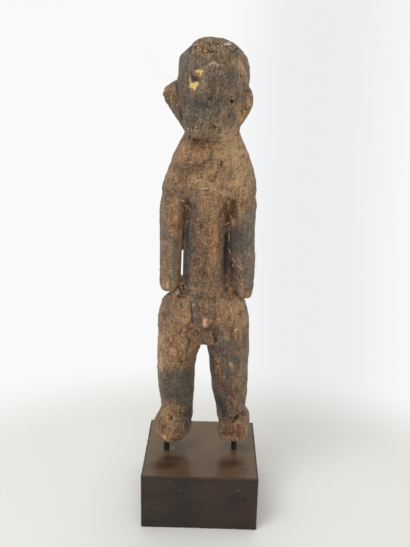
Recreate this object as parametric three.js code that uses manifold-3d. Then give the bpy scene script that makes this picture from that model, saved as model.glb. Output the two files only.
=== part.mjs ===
// A carved wooden standing figure with large ears and arms at its sides, worn and weathered.
// Two steel pins carry it just clear of a square wooden block.
// Millimetres, +Z up, the face looks along -Y. The origin is the middle of the block's underside.
import * as THREE from "three";
import { LoftGeometry } from "three/addons/geometries/LoftGeometry.js";
import { RoundedBoxGeometry } from "three/addons/geometries/RoundedBoxGeometry.js";
import { mergeVertices } from "three/addons/utils/BufferGeometryUtils.js";
import Module from "manifold-3d";

const wasm = await Module();
wasm.setup();

// Driving dimensions of the stand
const blockSide = 100;
const blockHeight = 50;
const blockRounding = 1.2;
const pinDiameter = 5;
const pinInBlock = 20;
const pinInFoot = 20;
const fitGap = 0.3;
const pinSides = 20;

// Where each pin stands on the block, and how high the sole over it is above the block's top
const pins = {
  pin_left: { x: -31, y: -4.5, sole: 11 },
  pin_right: { x: 30, y: 0.5, sole: 15.5 },
};

// The head is carved a little off the body's middle and turned towards its own right
const headMiddle = { x: 3.2, y: -2 };
const headTurn = 13;

// Every carved mass is a stack of level slices. A slice has its height z above the block's top, its middle x and y,
// its half width w, its reach f to the front and b to the back, and n, which squares the oval (2 is an ellipse).
const columns = ["z", "x", "y", "w", "f", "b", "n"];

const skull = [
  { z: 276, w: 16, f: 12, b: 15 },
  { z: 284, w: 20, f: 20, b: 18, n: 2.1 },
  { z: 292, w: 22, f: 25, b: 21, n: 2.2 },
  { z: 302, w: 24.4, f: 27, b: 25, n: 2.2 },
  { z: 312, w: 26.2, f: 27.4, b: 27.5, n: 2.1 },
  { z: 324, w: 27.4, f: 28, b: 28.5, n: 2.1 },
  { z: 334, w: 27, f: 28, b: 28, n: 2.1 },
  { z: 341, w: 25.2, f: 26, b: 26 },
  { z: 347, w: 20.8, f: 22, b: 22 },
  { z: 352, w: 14.5, f: 15.6, b: 15.6, x: -0.5 },
  { z: 355, w: 8, f: 8.6, b: 8.6, x: -1 },
  { z: 356.2, w: 2.5, f: 3, b: 3, x: -1.2 },
];

const jaw = [
  { z: 279.5, y: -14, w: 10, f: 9, b: 6 },
  { z: 282, y: -14, w: 14.5, f: 14.5, b: 8 },
  { z: 288, y: -14, w: 17.6, f: 18, b: 9, n: 2.3 },
  { z: 296, y: -14, w: 18.6, f: 18.6, b: 9, n: 2.2 },
  { z: 303, y: -14, w: 18, f: 17.6, b: 9 },
  { z: 311, y: -14, w: 16, f: 14.4, b: 8 },
  { z: 318, y: -14, w: 12, f: 11.6, b: 8 },
];

const nose = [
  { z: 309, y: -24, w: 5, f: 4.6, b: 3 },
  { z: 313.5, y: -24, w: 7, f: 7, b: 3 },
  { z: 320, y: -24, w: 5.6, f: 6.9, b: 3 },
  { z: 328, y: -24, w: 4.6, f: 6, b: 3 },
  { z: 335, y: -24, w: 3.6, f: 4, b: 3 },
];

const brow = [
  { z: 323, y: -18, w: 15, f: 8.4, b: 3 },
  { z: 329, y: -18, w: 19, f: 10.8, b: 3 },
  { z: 334, y: -18, w: 19.6, f: 11.4, b: 3 },
  { z: 341, y: -18, w: 15, f: 7.6, b: 3 },
];

// The ear's slices are long ovals that reach out from inside the skull
const earRoot = 20;
const earSlice = (z, reach, thickness) => ({ z, w: reach - earRoot, f: thickness / 2, b: thickness / 2, n: 2.2 });
const earLeft = [
  earSlice(282, 22, 12),
  earSlice(290, 27.4, 13),
  earSlice(298, 33.6, 12),
  earSlice(306, 39.6, 10.5),
  earSlice(312, 41.6, 10),
  earSlice(317, 40, 9.5),
  earSlice(322, 33, 9),
  earSlice(325.5, 25.5, 7),
];
const earRight = [
  earSlice(284, 21, 12),
  earSlice(291, 24.4, 16),
  earSlice(299, 28.8, 17),
  earSlice(306, 32, 15),
  earSlice(312, 31.8, 13),
  earSlice(317, 30, 11),
  earSlice(321.5, 27, 9),
];

const chest = [
  { z: 212, x: 1, w: 24, f: 3, b: 6, n: 2.2 },
  { z: 222, x: 1.2, w: 33, f: 9.5, b: 11, n: 2.4 },
  { z: 231, x: 1.5, w: 37.4, f: 15, b: 15.5, n: 2.5 },
  { z: 239, x: 1.9, w: 38.3, f: 17.6, b: 17.6, n: 2.5 },
  { z: 247, x: 2.6, w: 36.6, f: 18.6, b: 17.8, n: 2.4 },
  { z: 255, x: 3.2, w: 34, f: 18.6, b: 17.2 },
  { z: 265, x: 3.3, w: 30.4, f: 18, b: 16.5 },
  { z: 275, x: 3.2, w: 25.8, f: 17, b: 16 },
  { z: 283, x: 3.3, w: 21.9, f: 15, b: 16 },
  { z: 291, x: 3.2, w: 19, f: 12, b: 15.5 },
];

const torso = [
  { z: 143, x: 0, w: 20, f: 14.5, b: 13 },
  { z: 156, x: -0.6, w: 18, f: 13.9, b: 12.5 },
  { z: 175, x: -1, w: 17.2, f: 13.8, b: 12, n: 1.9 },
  { z: 200, x: -1, w: 17.2, f: 15, b: 13, n: 1.9 },
  { z: 222, x: 0, w: 19.5, f: 17.2, b: 15 },
  { z: 240, x: 1.4, w: 26, f: 18.4, b: 16 },
];

const armLeft = [
  { z: 153.4, x: -29.4, w: 6.4, f: 6.5, b: 6 },
  { z: 154.6, x: -29.4, w: 7.9, f: 8, b: 7.5, n: 2.3 },
  { z: 158, x: -29.4, w: 8.7, f: 9, b: 8.5, n: 2.3 },
  { z: 170, x: -29.3, w: 8.8, f: 9.5, b: 9.5 },
  { z: 187, x: -28.9, w: 9, f: 11, b: 10.5 },
  { z: 205, x: -28.4, w: 9.8, f: 13, b: 12 },
  { z: 222, x: -27.5, w: 10.6, f: 15.4, b: 14 },
  { z: 242, x: -23, w: 11.5, f: 16.8, b: 15 },
];

const armRight = [
  { z: 145.6, x: 34.4, w: 3.6, f: 4, b: 4 },
  { z: 147.2, x: 34.2, w: 5.6, f: 6.5, b: 6 },
  { z: 151, x: 33.6, w: 7.2, f: 8, b: 8 },
  { z: 158, x: 32.6, w: 8.9, f: 9, b: 9 },
  { z: 175, x: 32.2, w: 9.4, f: 10, b: 10.5 },
  { z: 200, x: 31, w: 9.6, f: 12.6, b: 12 },
  { z: 222, x: 29.6, w: 10.6, f: 15.4, b: 14 },
  { z: 242, x: 26, w: 11.5, f: 16.8, b: 15 },
];

// Wood left between arm and body: behind both armpits, and low down at the back of the right arm
const webLeft = [
  { z: 186, x: -18.6, y: 4, w: 3.4, f: 3, b: 4 },
  { z: 200, x: -18, y: 3, w: 6, f: 5, b: 6.5 },
  { z: 236, x: -18, y: 2, w: 8, f: 9, b: 9 },
];
const webRight = [
  { z: 144, x: 20, y: 3, w: 9, f: 9, b: 7 },
  { z: 152, x: 20, y: 3, w: 8, f: 7, b: 6 },
  { z: 175, x: 20, y: 4, w: 7, f: 4.5, b: 5 },
  { z: 205, x: 20, y: 3, w: 7, f: 5.5, b: 6.5 },
  { z: 236, x: 19.5, y: 2, w: 8, f: 9, b: 9 },
];
const handBridge = [
  { z: 138, x: -21, y: 0, w: 9, f: 10, b: 9 },
  { z: 147, x: -21.5, y: 0, w: 7.4, f: 8.5, b: 8 },
  { z: 158.5, x: -21.5, y: 0, w: 4, f: 5, b: 5 },
];

const hips = [
  { z: 105, y: 3, w: 35, f: 13, b: 16, n: 2.4 },
  { z: 113, y: 3, w: 38.9, f: 17.4, b: 19.5, n: 2.5 },
  { z: 124, x: -0.3, y: 3, w: 39.1, f: 18.8, b: 20, n: 2.5 },
  { z: 134, x: -0.6, y: 2.5, w: 37.7, f: 18.6, b: 18.5, n: 2.4 },
  { z: 141, x: -0.4, y: 2, w: 35, f: 17.6, b: 16.5, n: 2.3 },
  { z: 146, y: 1.5, w: 30.5, f: 16.2, b: 14.5, n: 2.2 },
  { z: 151, y: 1, w: 21, f: 13.6, b: 12.5 },
];

const buttock = [
  { z: 97, y: 12, w: 8, f: 6, b: 6 },
  { z: 104, y: 12, w: 15, f: 9, b: 12 },
  { z: 116, y: 12, w: 18, f: 9, b: 14.5 },
  { z: 128, y: 11, w: 15.5, f: 9, b: 12 },
  { z: 137, y: 9, w: 8, f: 6, b: 7 },
];
const buttockOut = 17.5;

// The lower belly runs down to a short broken stub
const loin = [
  { z: 117.5, x: -0.6, y: -15, w: 2.8, f: 4.5, b: 4 },
  { z: 119.5, x: -0.6, y: -15, w: 4, f: 7, b: 4 },
  { z: 124, x: -0.7, y: -15, w: 6, f: 7.8, b: 4 },
  { z: 131, x: -0.6, y: -14, w: 9.2, f: 7.6, b: 4 },
  { z: 139, x: -0.4, y: -13, w: 11, f: 6.6, b: 4 },
  { z: 147, x: -0.6, y: -11, w: 9, f: 5, b: 4 },
];
const pouch = [
  { z: 104.5, x: 6.4, y: -10, w: 2, f: 2, b: 5 },
  { z: 108, x: 5.4, y: -10, w: 4.2, f: 5, b: 5 },
  { z: 115, x: 3, y: -10, w: 6, f: 7, b: 5 },
  { z: 122, x: 0.6, y: -10, w: 6, f: 7, b: 5 },
];

const legLeft = [
  { z: 30, x: -22, y: 3, w: 13.6, f: 10, b: 12 },
  { z: 47, x: -22.9, y: 3, w: 14.3, f: 12.6, b: 13.5 },
  { z: 62, x: -23.9, y: 3, w: 15.7, f: 16, b: 16 },
  { z: 80, x: -23.6, y: 2, w: 16.2, f: 18, b: 16.5 },
  { z: 92, x: -22.6, y: 2, w: 17.2, f: 17.8, b: 18 },
  { z: 106, x: -20.4, y: 2, w: 19, f: 18, b: 19.5 },
  { z: 118, x: -19, y: 2, w: 20, f: 17.4, b: 19 },
  { z: 128, x: -18, y: 2, w: 19, f: 14.5, b: 16 },
];
const legRight = [
  { z: 30, x: 26, y: 3, w: 12, f: 15, b: 12 },
  { z: 44, x: 25.8, y: 3, w: 13.1, f: 13.6, b: 13 },
  { z: 60, x: 24.7, y: 3, w: 14.7, f: 15.5, b: 15.5 },
  { z: 80, x: 23, y: 2, w: 16.4, f: 17.6, b: 16.5 },
  { z: 92, x: 22.3, y: 2, w: 17.1, f: 17.8, b: 18 },
  { z: 106, x: 20.4, y: 2, w: 18.8, f: 18, b: 19.5 },
  { z: 118, x: 19, y: 2, w: 20, f: 17.4, b: 19 },
  { z: 128, x: 18, y: 2, w: 19, f: 14.5, b: 16 },
];

const footLeft = [
  { z: 11, w: 8, f: 12, b: 9 },
  { z: 13, w: 11.6, f: 15.4, b: 12.5 },
  { z: 18, w: 15.4, f: 18, b: 15 },
  { z: 25, w: 17, f: 18.8, b: 15.6 },
  { z: 31, w: 15.4, f: 17.4, b: 14.5 },
  { z: 37, w: 11.6, f: 14.5, b: 12.5 },
  { z: 43, w: 6, f: 10, b: 8 },
];
const footLeftPlace = { x: -25.6, y: 0.5, turn: 22 };
const footRight = [
  { z: 15.5, w: 10.6, f: 15, b: 10.5, n: 3 },
  { z: 17.5, w: 12.6, f: 18, b: 13, n: 3.8 },
  { z: 24, w: 13.7, f: 19, b: 14.5, n: 3.8 },
  { z: 31, w: 13.2, f: 19, b: 14.5, n: 3.8 },
  { z: 34.4, w: 12.4, f: 17.5, b: 14, n: 3.2 },
  { z: 38, w: 10.6, f: 12.5, b: 12.5, n: 2.2 },
];
const footRightPlace = { x: 29.2, y: 1, turn: 8 };
const toeBreak = { y: -15.5, tilt: 4 };

// A solid from a three.js geometry, and a three.js geometry from a solid
function solidOf(geometry) {
  const bare = new THREE.BufferGeometry();
  bare.setAttribute("position", geometry.getAttribute("position"));
  bare.setIndex(geometry.index);
  const merged = mergeVertices(bare, 1e-4);
  const vertProperties = new Float32Array(merged.attributes.position.array);
  const triVerts = new Uint32Array(merged.index.array);
  return new wasm.Manifold(new wasm.Mesh({ numProp: 3, vertProperties, triVerts }));
}

function geometryOf(solid) {
  const { vertProperties, triVerts } = solid.getMesh();
  const geometry = new THREE.BufferGeometry();
  geometry.setAttribute("position", new THREE.BufferAttribute(vertProperties, 3));
  geometry.setIndex(new THREE.BufferAttribute(triVerts, 1));
  geometry.computeVertexNormals();
  return geometry;
}

// The slices between the given ones follow a smooth curve through them, about `pitch` apart
function slicesBetween(rows, pitch) {
  const filled = rows.map((row) => ({ x: 0, y: 0, n: 2, ...row }));
  const values = filled.flatMap((row) => columns.map((name) => row[name]));
  const curve = new THREE.CubicInterpolant(
    filled.map((_, i) => i),
    values,
    columns.length,
    new Float64Array(columns.length),
  );
  const slices = [];
  for (let i = 0; i < filled.length - 1; i++) {
    const [low, high] = [filled[i], filled[i + 1]];
    const distance = Math.hypot(high.z - low.z, high.w - low.w);
    const steps = Math.max(1, Math.round(distance / pitch));
    for (let step = 0; step < steps; step++) slices.push([...curve.evaluate(i + step / steps)]);
  }
  slices.push([...curve.evaluate(filled.length - 1)]);
  return slices.map((row) => Object.fromEntries(columns.map((name, i) => [name, row[i]])));
}

const signedPower = (value, power) => Math.sign(value) * Math.abs(value) ** power;

// One carved mass: a loft through its slices, closed flat at both ends
function mass(rows, { sides = 20, pitch = 5, x = 0, y = 0, turn = 0 } = {}) {
  const sections = slicesBetween(rows, pitch).map((slice) =>
    Array.from({ length: sides }, (_, i) => {
      const angle = ((i + 0.5) / sides) * 2 * Math.PI;
      const across = signedPower(Math.cos(angle), 2 / slice.n) * slice.w;
      const reach = Math.sin(angle) < 0 ? slice.f : slice.b;
      const along = signedPower(Math.sin(angle), 2 / slice.n) * reach;
      return new THREE.Vector3(slice.x + across, slice.y + along, slice.z);
    }),
  );
  const geometry = new LoftGeometry(sections, { capStart: true, capEnd: true });
  // A turn above 0 swings the mass's front towards -X
  geometry.rotateZ(THREE.MathUtils.degToRad(-turn));
  geometry.translate(x, y, 0);
  return solidOf(geometry);
}

// An egg-shaped gouge that hollows the wood
function gouge({ x, y, z, w, d, h, turn = 0, lean = 0 }) {
  const geometry = new THREE.IcosahedronGeometry(1, 2);
  geometry.scale(w, d, h);
  geometry.rotateX(THREE.MathUtils.degToRad(lean));
  geometry.rotateY(THREE.MathUtils.degToRad(turn));
  geometry.translate(x, y, z);
  return solidOf(geometry);
}

const join = (solids) => solids.reduce((sum, next) => sum.add(next));
const cut = (solid, cutters) => cutters.reduce((rest, cutter) => rest.subtract(cutter), solid);

function buildHead() {
  const ears = [
    mass(earLeft, { sides: 16, pitch: 4.5, x: -earRoot, y: 3 }),
    mass(earRight, { sides: 16, pitch: 4.5, x: earRoot, y: 1 }),
  ];
  const masses = [
    mass(skull, { sides: 28, pitch: 5 }),
    mass(jaw, { sides: 20, pitch: 4 }),
    mass(nose, { sides: 12, pitch: 4 }),
    mass(brow, { sides: 18, pitch: 3.5 }),
    ...ears,
  ];
  const hollows = [
    gouge({ x: -9.2, y: -31, z: 324.5, w: 6, d: 6, h: 4.2 }),
    gouge({ x: 9.2, y: -31, z: 324.5, w: 6, d: 6, h: 4.2 }),
    gouge({ x: -0.5, y: -34, z: 306.2, w: 12, d: 5.2, h: 2.2 }),
    gouge({ x: -30.5, y: -4.8, z: 309, w: 5.6, d: 5, h: 9, turn: 14 }),
    gouge({ x: -24.2, y: -9, z: 305, w: 2.2, d: 7, h: 16, turn: -20 }),
    gouge({ x: 27.8, y: -9.4, z: 308, w: 3.4, d: 4.2, h: 7.5, turn: -14 }),
  ];
  const turned = cut(join(masses), hollows).rotate([0, 0, -headTurn]);
  return turned.translate([headMiddle.x, headMiddle.y, 0]);
}

function buildUpperBody() {
  const masses = [
    mass(chest, { sides: 28, pitch: 6 }),
    mass(torso, { sides: 22, pitch: 10 }),
    mass(armLeft, { sides: 16, pitch: 8 }),
    mass(armRight, { sides: 16, pitch: 8 }),
    mass(webLeft, { sides: 10, pitch: 16 }),
    mass(webRight, { sides: 10, pitch: 18 }),
    mass(handBridge, { sides: 10, pitch: 10 }),
  ];
  const channels = [
    gouge({ x: -17.4, y: -17, z: 213, w: 4.2, d: 10, h: 22, turn: 5 }),
    gouge({ x: 20.4, y: -15.5, z: 196, w: 5.6, d: 10.6, h: 38, turn: 1.5 }),
  ];
  return cut(join(masses), channels);
}

function buildLowerBody() {
  return join([
    mass(hips, { sides: 28, pitch: 6 }),
    mass(buttock, { sides: 16, pitch: 7, x: -buttockOut }),
    mass(buttock, { sides: 16, pitch: 7, x: buttockOut }),
    mass(loin, { sides: 14, pitch: 5 }),
    mass(pouch, { sides: 12, pitch: 5 }),
    mass(legLeft, { sides: 20, pitch: 8 }),
    mass(legRight, { sides: 20, pitch: 8 }),
    mass(footLeft, { sides: 20, pitch: 5, ...footLeftPlace }),
    cut(mass(footRight, { sides: 20, pitch: 5, ...footRightPlace }), [toeBreakCutter()]),
  ]);
}

// Takes the right foot's toes off along a rough, nearly upright break
function toeBreakCutter() {
  const size = 60;
  const geometry = new THREE.BoxGeometry(size, size, size);
  geometry.translate(0, -size / 2, 0);
  geometry.rotateX(THREE.MathUtils.degToRad(toeBreak.tilt));
  geometry.translate(footRightPlace.x, toeBreak.y, 25);
  return solidOf(geometry);
}

function upright(radius, low, high, { x, y }) {
  const geometry = new THREE.CylinderGeometry(radius, radius, high - low, pinSides);
  geometry.rotateX(Math.PI / 2);
  geometry.translate(x, y, (low + high) / 2);
  return geometry;
}

function named(name, geometry, { color, roughness, metalness = 0 }) {
  const mesh = new THREE.Mesh(geometry, new THREE.MeshStandardMaterial({ color, roughness, metalness }));
  mesh.name = name;
  return mesh;
}

const wornWood = { color: 0x6b4c34, roughness: 0.85 };
const stainedWood = { color: 0x33261f, roughness: 0.5 };
const blackSteel = { color: 0x14120f, roughness: 0.45, metalness: 0.8 };

const holeRadius = pinDiameter / 2 + fitGap;
const soleHoles = Object.values(pins).map((pin) =>
  solidOf(upright(holeRadius, 0, pin.sole + pinInFoot + fitGap, pin)),
);
const blockHoles = Object.values(pins).map((pin) =>
  solidOf(upright(holeRadius, -pinInBlock - fitGap, 1, pin)),
);

const figure = cut(join([buildHead(), buildUpperBody(), buildLowerBody()]), soleHoles);
const blockShape = new RoundedBoxGeometry(blockSide, blockSide, blockHeight, 2, blockRounding);
blockShape.translate(0, 0, -blockHeight / 2);
const block = cut(solidOf(blockShape), blockHoles);

const stand = new THREE.Group();
stand.add(named("block", geometryOf(block), stainedWood));
for (const [name, pin] of Object.entries(pins)) {
  stand.add(named(name, upright(pinDiameter / 2, -pinInBlock, pin.sole + pinInFoot, pin), blackSteel));
}
stand.add(named("figure", geometryOf(figure), wornWood));
stand.position.z = blockHeight;

const carvedFigure = new THREE.Group();
carvedFigure.add(stand);
export default carvedFigure;
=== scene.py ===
# A worn wooden standing figure with large ears, held on two steel pins just clear of a square stained
# block. Lengths are in millimetres unless a line says metres. X runs to the right, Y away from the
# viewer, and Z up from the block's underside. Left and right are the viewer's. Strokes of paint and
# carving are given by X and Z, as seen from straight ahead.
import bmesh
import bpy
import math
import numpy as np
from mathutils import Matrix, Vector
from mathutils.bvhtree import BVHTree


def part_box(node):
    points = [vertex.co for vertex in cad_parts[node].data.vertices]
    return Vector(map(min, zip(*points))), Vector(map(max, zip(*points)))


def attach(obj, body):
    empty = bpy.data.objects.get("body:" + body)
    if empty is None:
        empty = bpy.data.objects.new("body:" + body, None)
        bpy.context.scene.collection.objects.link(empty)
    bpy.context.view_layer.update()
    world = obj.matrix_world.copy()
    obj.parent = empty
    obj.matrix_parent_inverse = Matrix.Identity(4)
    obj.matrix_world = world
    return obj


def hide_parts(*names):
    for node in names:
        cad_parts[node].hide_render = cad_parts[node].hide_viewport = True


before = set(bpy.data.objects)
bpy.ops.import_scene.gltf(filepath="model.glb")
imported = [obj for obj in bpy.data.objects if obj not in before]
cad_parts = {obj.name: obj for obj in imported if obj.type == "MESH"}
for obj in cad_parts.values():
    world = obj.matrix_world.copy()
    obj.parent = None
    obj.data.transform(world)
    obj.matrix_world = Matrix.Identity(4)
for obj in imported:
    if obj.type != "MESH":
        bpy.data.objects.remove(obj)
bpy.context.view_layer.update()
scene = bpy.context.scene
scene.view_settings.view_transform = "Standard"


# The camera, the floor and the light

view = {
    "place": (6.19, -568.16, 383.89),
    "turn": -0.602,  # degrees to the right
    "down": 16.494,
    "roll": -1.274,
    "focalPixels": 700,
    "longSidePixels": 547,
}


def makeCamera():
    # The three axes of the picture are worked out from the turn, the downward angle and the roll.
    turn, down, roll = (math.radians(view[name]) for name in ("turn", "down", "roll"))
    forward = Vector((math.sin(turn) * math.cos(down), math.cos(turn) * math.cos(down), -math.sin(down)))
    level = Vector((math.cos(turn), -math.sin(turn), 0))
    plumb = forward.cross(level)
    right = level * math.cos(roll) + plumb * math.sin(roll)
    below = plumb * math.cos(roll) - level * math.sin(roll)
    data = bpy.data.cameras.new("studio_camera")
    data.sensor_width = 36
    data.lens = 36 * view["focalPixels"] / view["longSidePixels"]
    data.clip_start = 0.02
    data.clip_end = 60
    camera = bpy.data.objects.new("studio_camera", data)
    scene.collection.objects.link(camera)
    camera.matrix_world = Matrix((right, -below, -forward)).transposed().to_4x4()
    camera.location = Vector(view["place"]) / 1000
    scene.camera = camera


makeCamera()
print("camera placed")


def tone(red, green, blue):
    # A colour as a picture editor shows it, turned into the linear values that the shaders use.
    share = [value / 255 for value in (red, green, blue)]
    return tuple(v / 12.92 if v <= 0.04045 else ((v + 0.055) / 1.055) ** 2.4 for v in share) + (1,)


class Wire:
    # One output of a shader node. Each sum written with it adds a Math node.
    def __init__(self, tree, socket):
        self.tree = tree
        self.socket = socket

    def sum(self, operation, *parts):
        node = self.tree.nodes.new("ShaderNodeMath")
        node.operation = operation
        for place, part in zip(node.inputs, parts):
            plug(self.tree, place, part)
        return Wire(self.tree, node.outputs[0])

    def __add__(self, other):
        return self.sum("ADD", self, other)

    def __radd__(self, other):
        return self.sum("ADD", other, self)

    def __sub__(self, other):
        return self.sum("SUBTRACT", self, other)

    def __rsub__(self, other):
        return self.sum("SUBTRACT", other, self)

    def __mul__(self, other):
        return self.sum("MULTIPLY", self, other)

    def __rmul__(self, other):
        return self.sum("MULTIPLY", other, self)

    def clamped(self):
        return self.sum("MAXIMUM", self.sum("MINIMUM", self, 1), 0)


def plug(tree, place, value):
    # Links a wire to a node's socket, or sets the socket's own value.
    if isinstance(value, Wire):
        tree.links.new(value.socket, place)
    else:
        place.default_value = value


class Finish:
    # A material or world under construction: one method adds any node, and the others are short ways to
    # the common ones.
    def __init__(self, owner):
        owner.use_nodes = True
        self.owner = owner
        self.tree = owner.node_tree

    def add(self, kind, settings=None, inputs=None, output=0):
        # The settings go on the node before the values and wires go into its sockets.
        node = self.tree.nodes.new("ShaderNode" + kind)
        for name, value in (settings or {}).items():
            setattr(node, name, value)
        for name, value in (inputs or {}).items():
            plug(self.tree, node.inputs[name], value)
        return Wire(self.tree, node.outputs[output])

    def set(self, name, value):
        # A socket of the surface shader, by its name.
        plug(self.tree, self.tree.nodes["Principled BSDF"].inputs[name], value)

    def place(self, stretch=(1, 1, 1)):
        # Object coordinates. A number below 1 draws the pattern out along that axis.
        spot = self.add("TexCoord", output="Object")
        return self.add("Mapping", inputs={"Vector": spot, "Scale": stretch})

    def along(self, vector, axis):
        # One coordinate of a vector.
        return self.add("SeparateXYZ", inputs={"Vector": vector}, output=axis)

    def noise(self, where, size, detail=3, rough=0.6):
        # Smooth random values whose patches are about `size` millimetres wide.
        inputs = {"Vector": where, "Scale": 1000 / size, "Detail": detail, "Roughness": rough}
        return self.add("TexNoise", inputs=inputs)

    def rise(self, value, low, high):
        # 0 below low, 1 above high, and a smooth step between.
        inputs = {"Value": value, "From Min": low, "From Max": high}
        return self.add("MapRange", {"interpolation_type": "SMOOTHSTEP"}, inputs)

    def mask(self, name):
        # A number that the mesh carries at each of its points.
        return self.add("Attribute", {"attribute_name": name}, output="Fac")

    def mix(self, share, first, second, way="MIX"):
        # The first colour where the share is 0, and the second, or the blend of both, where it is 1.
        settings = {"data_type": "RGBA", "blend_type": way}
        return self.add("Mix", settings, {0: share, 6: first, 7: second}, output=2)

    def tinted(self, share, colour, tint):
        # The colour, multiplied by the tint where the share is 1.
        return self.mix(share, colour, self.mix(1, colour, tint, "MULTIPLY"))

    def relief(self, height, depth, strength=1):
        # A bump whose height is in units of `depth` millimetres.
        inputs = {"Height": height, "Distance": depth / 1000, "Strength": strength}
        self.set("Normal", self.add("Bump", inputs=inputs))


studio = {
    "wall": tone(249, 249, 249),
    # The dimmer wall tone is a painted shadow, a band a little to the right of straight ahead.
    "wallShadow": tone(235, 236, 238),
    "wallTurns": (0, 0.12, 0.15, 0.3),  # how far to the right of straight ahead it dims and clears again
    "wallAhead": (0, 0.3),  # it dims only ahead of the viewer, and not behind
    "floor": tone(229, 228, 223),
    "floorSide": 12,  # metres
    "floorMiddle": (0, -0.12, 0),  # metres
    "wallStarts": (0.27, 0.43),  # metres from that middle, over which the floor turns as white as the wall
    "ambient": 0.52,
    "lamps": {
        # name: place, size and aim in metres, and power in watts
        "key": ((-0.75, -0.95, 1.75), 1.1, (0, 0, 0.2), 17),
        "front": ((0.35, -1.9, 0.75), 1.0, (0, 0, 0.22), 9),
        "top": ((0.1, 0.5, 1.9), 0.9, (0, 0, 0.25), 7),
    },
}


def wallColour(finish, sight):
    # The wall's colour in a direction: a painted shadow dims it a little to the right of the middle, and it
    # clears again further out.
    across, ahead = finish.along(sight, "X"), finish.along(sight, "Y")
    start, dim, still, end = studio["wallTurns"]
    band = finish.rise(across, start, dim) * (1 - finish.rise(across, still, end))
    return finish.mix(band * finish.rise(ahead, *studio["wallAhead"]), studio["wall"], studio["wallShadow"])


def makeStudio():
    # A white surround with a painted shadow band to the right, a floor that turns into the same white far
    # out, and three soft lamps.
    world = bpy.data.worlds.new("studio")
    scene.world = world
    finish = Finish(world)
    finish.tree.nodes.clear()
    wall = wallColour(finish, finish.add("TexCoord", output="Generated"))
    seen = finish.add("Background", inputs={"Color": wall})
    lit = finish.add("Background", inputs={"Color": studio["wall"], "Strength": studio["ambient"]})
    diffuse = finish.add("LightPath", output="Is Diffuse Ray")
    both = finish.add("MixShader", inputs={0: diffuse, 1: seen, 2: lit})
    output = finish.tree.nodes.new("ShaderNodeOutputWorld")
    finish.tree.links.new(both.socket, output.inputs["Surface"])

    half = studio["floorSide"] / 2
    mesh = bpy.data.meshes.new("floor")
    corners = [(-half, -half, 0), (half, -half, 0), (half, half, 0), (-half, half, 0)]
    mesh.from_pydata(corners, [], [(0, 1, 2, 3)])
    floor = bpy.data.objects.new("floor", mesh)
    scene.collection.objects.link(floor)
    finish = Finish(bpy.data.materials.new("pale_floor"))
    finish.set("Base Color", studio["floor"])
    finish.set("Roughness", 0.9)
    finish.set("Specular IOR Level", 0.1)
    middle = studio["floorMiddle"]
    away = finish.add("VectorMath", {"operation": "DISTANCE"}, {0: finish.place(), 1: middle}, output="Value")
    eye = tuple(value / 1000 for value in view["place"])  # stays put in other views
    sight = finish.add("VectorMath", {"operation": "SUBTRACT"}, {0: finish.place(), 1: eye})
    sight = finish.add("VectorMath", {"operation": "NORMALIZE"}, {0: sight})
    # Far out the floor glows in the wall's colour, its painted shadow band included.
    white = finish.add("Emission", inputs={"Color": wallColour(finish, sight)})
    near = Wire(finish.tree, finish.tree.nodes["Principled BSDF"].outputs[0])
    share = finish.rise(away, *studio["wallStarts"])
    both = finish.add("MixShader", inputs={0: share, 1: near, 2: white})
    finish.tree.links.new(both.socket, finish.tree.nodes["Material Output"].inputs["Surface"])
    mesh.materials.append(finish.owner)

    for name, (place, size, aim, power) in studio["lamps"].items():
        data = bpy.data.lights.new(name, "AREA")
        data.shape = "DISK"
        data.size = size
        data.energy = power
        lamp = bpy.data.objects.new(name, data)
        scene.collection.objects.link(lamp)
        lamp.location = place
        lamp.rotation_mode = "QUATERNION"
        lamp.rotation_quaternion = (Vector(aim) - Vector(place)).to_track_quat("-Z", "Y")


makeStudio()
print("floor and lights placed")


# Shared tools for shapes

def smoothStep(value, low, high):
    # 0 at low, 1 at high, and the cubic 3t² - 2t³ between.
    share = np.clip((value - low) / (high - low), 0, 1)
    return share * share * (3 - 2 * share)


def softNoise(points, size, seed):
    # Random values from -1 to 1 stand on the corners of a lattice of cells `size` wide. Inside a cell
    # they are blended along each axis with the smooth step.
    lattice = np.random.default_rng(seed).uniform(-1, 1, (32, 32, 32))
    place = points / np.asarray(size, float) + 500
    corner = np.floor(place).astype(int)
    share = place - corner
    share = share * share * (3 - 2 * share)
    total = np.zeros(len(points))
    for dx, dy, dz in np.ndindex(2, 2, 2):
        step = np.array((dx, dy, dz))
        weight = np.prod(np.where(step == 1, share, 1 - share), axis=1)
        cell = (corner + step) % 32
        total += weight * lattice[cell[:, 0], cell[:, 1], cell[:, 2]]
    return total


def roughNoise(points, size, seed, layers=3):
    # Layers of soft noise, each with cells half as wide and half as strong as the one before.
    size = np.asarray(size, float)
    return sum(softNoise(points, size / 2**k, seed + k) / 2**k for k in range(layers))


def distanceTo(path, x, z):
    # The shortest distance, seen from the front, between each point and the line through the path's
    # points.
    path = np.array(path, float)
    nearest = np.hypot(x - path[0, 0], z - path[0, 1])
    for (ax, az), (bx, bz) in zip(path[:-1], path[1:]):
        length = (bx - ax) ** 2 + (bz - az) ** 2
        share = np.clip(((x - ax) * (bx - ax) + (z - az) * (bz - az)) / length, 0, 1)
        nearest = np.minimum(nearest, np.hypot(x - ax - share * (bx - ax), z - az - share * (bz - az)))
    return nearest


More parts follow.
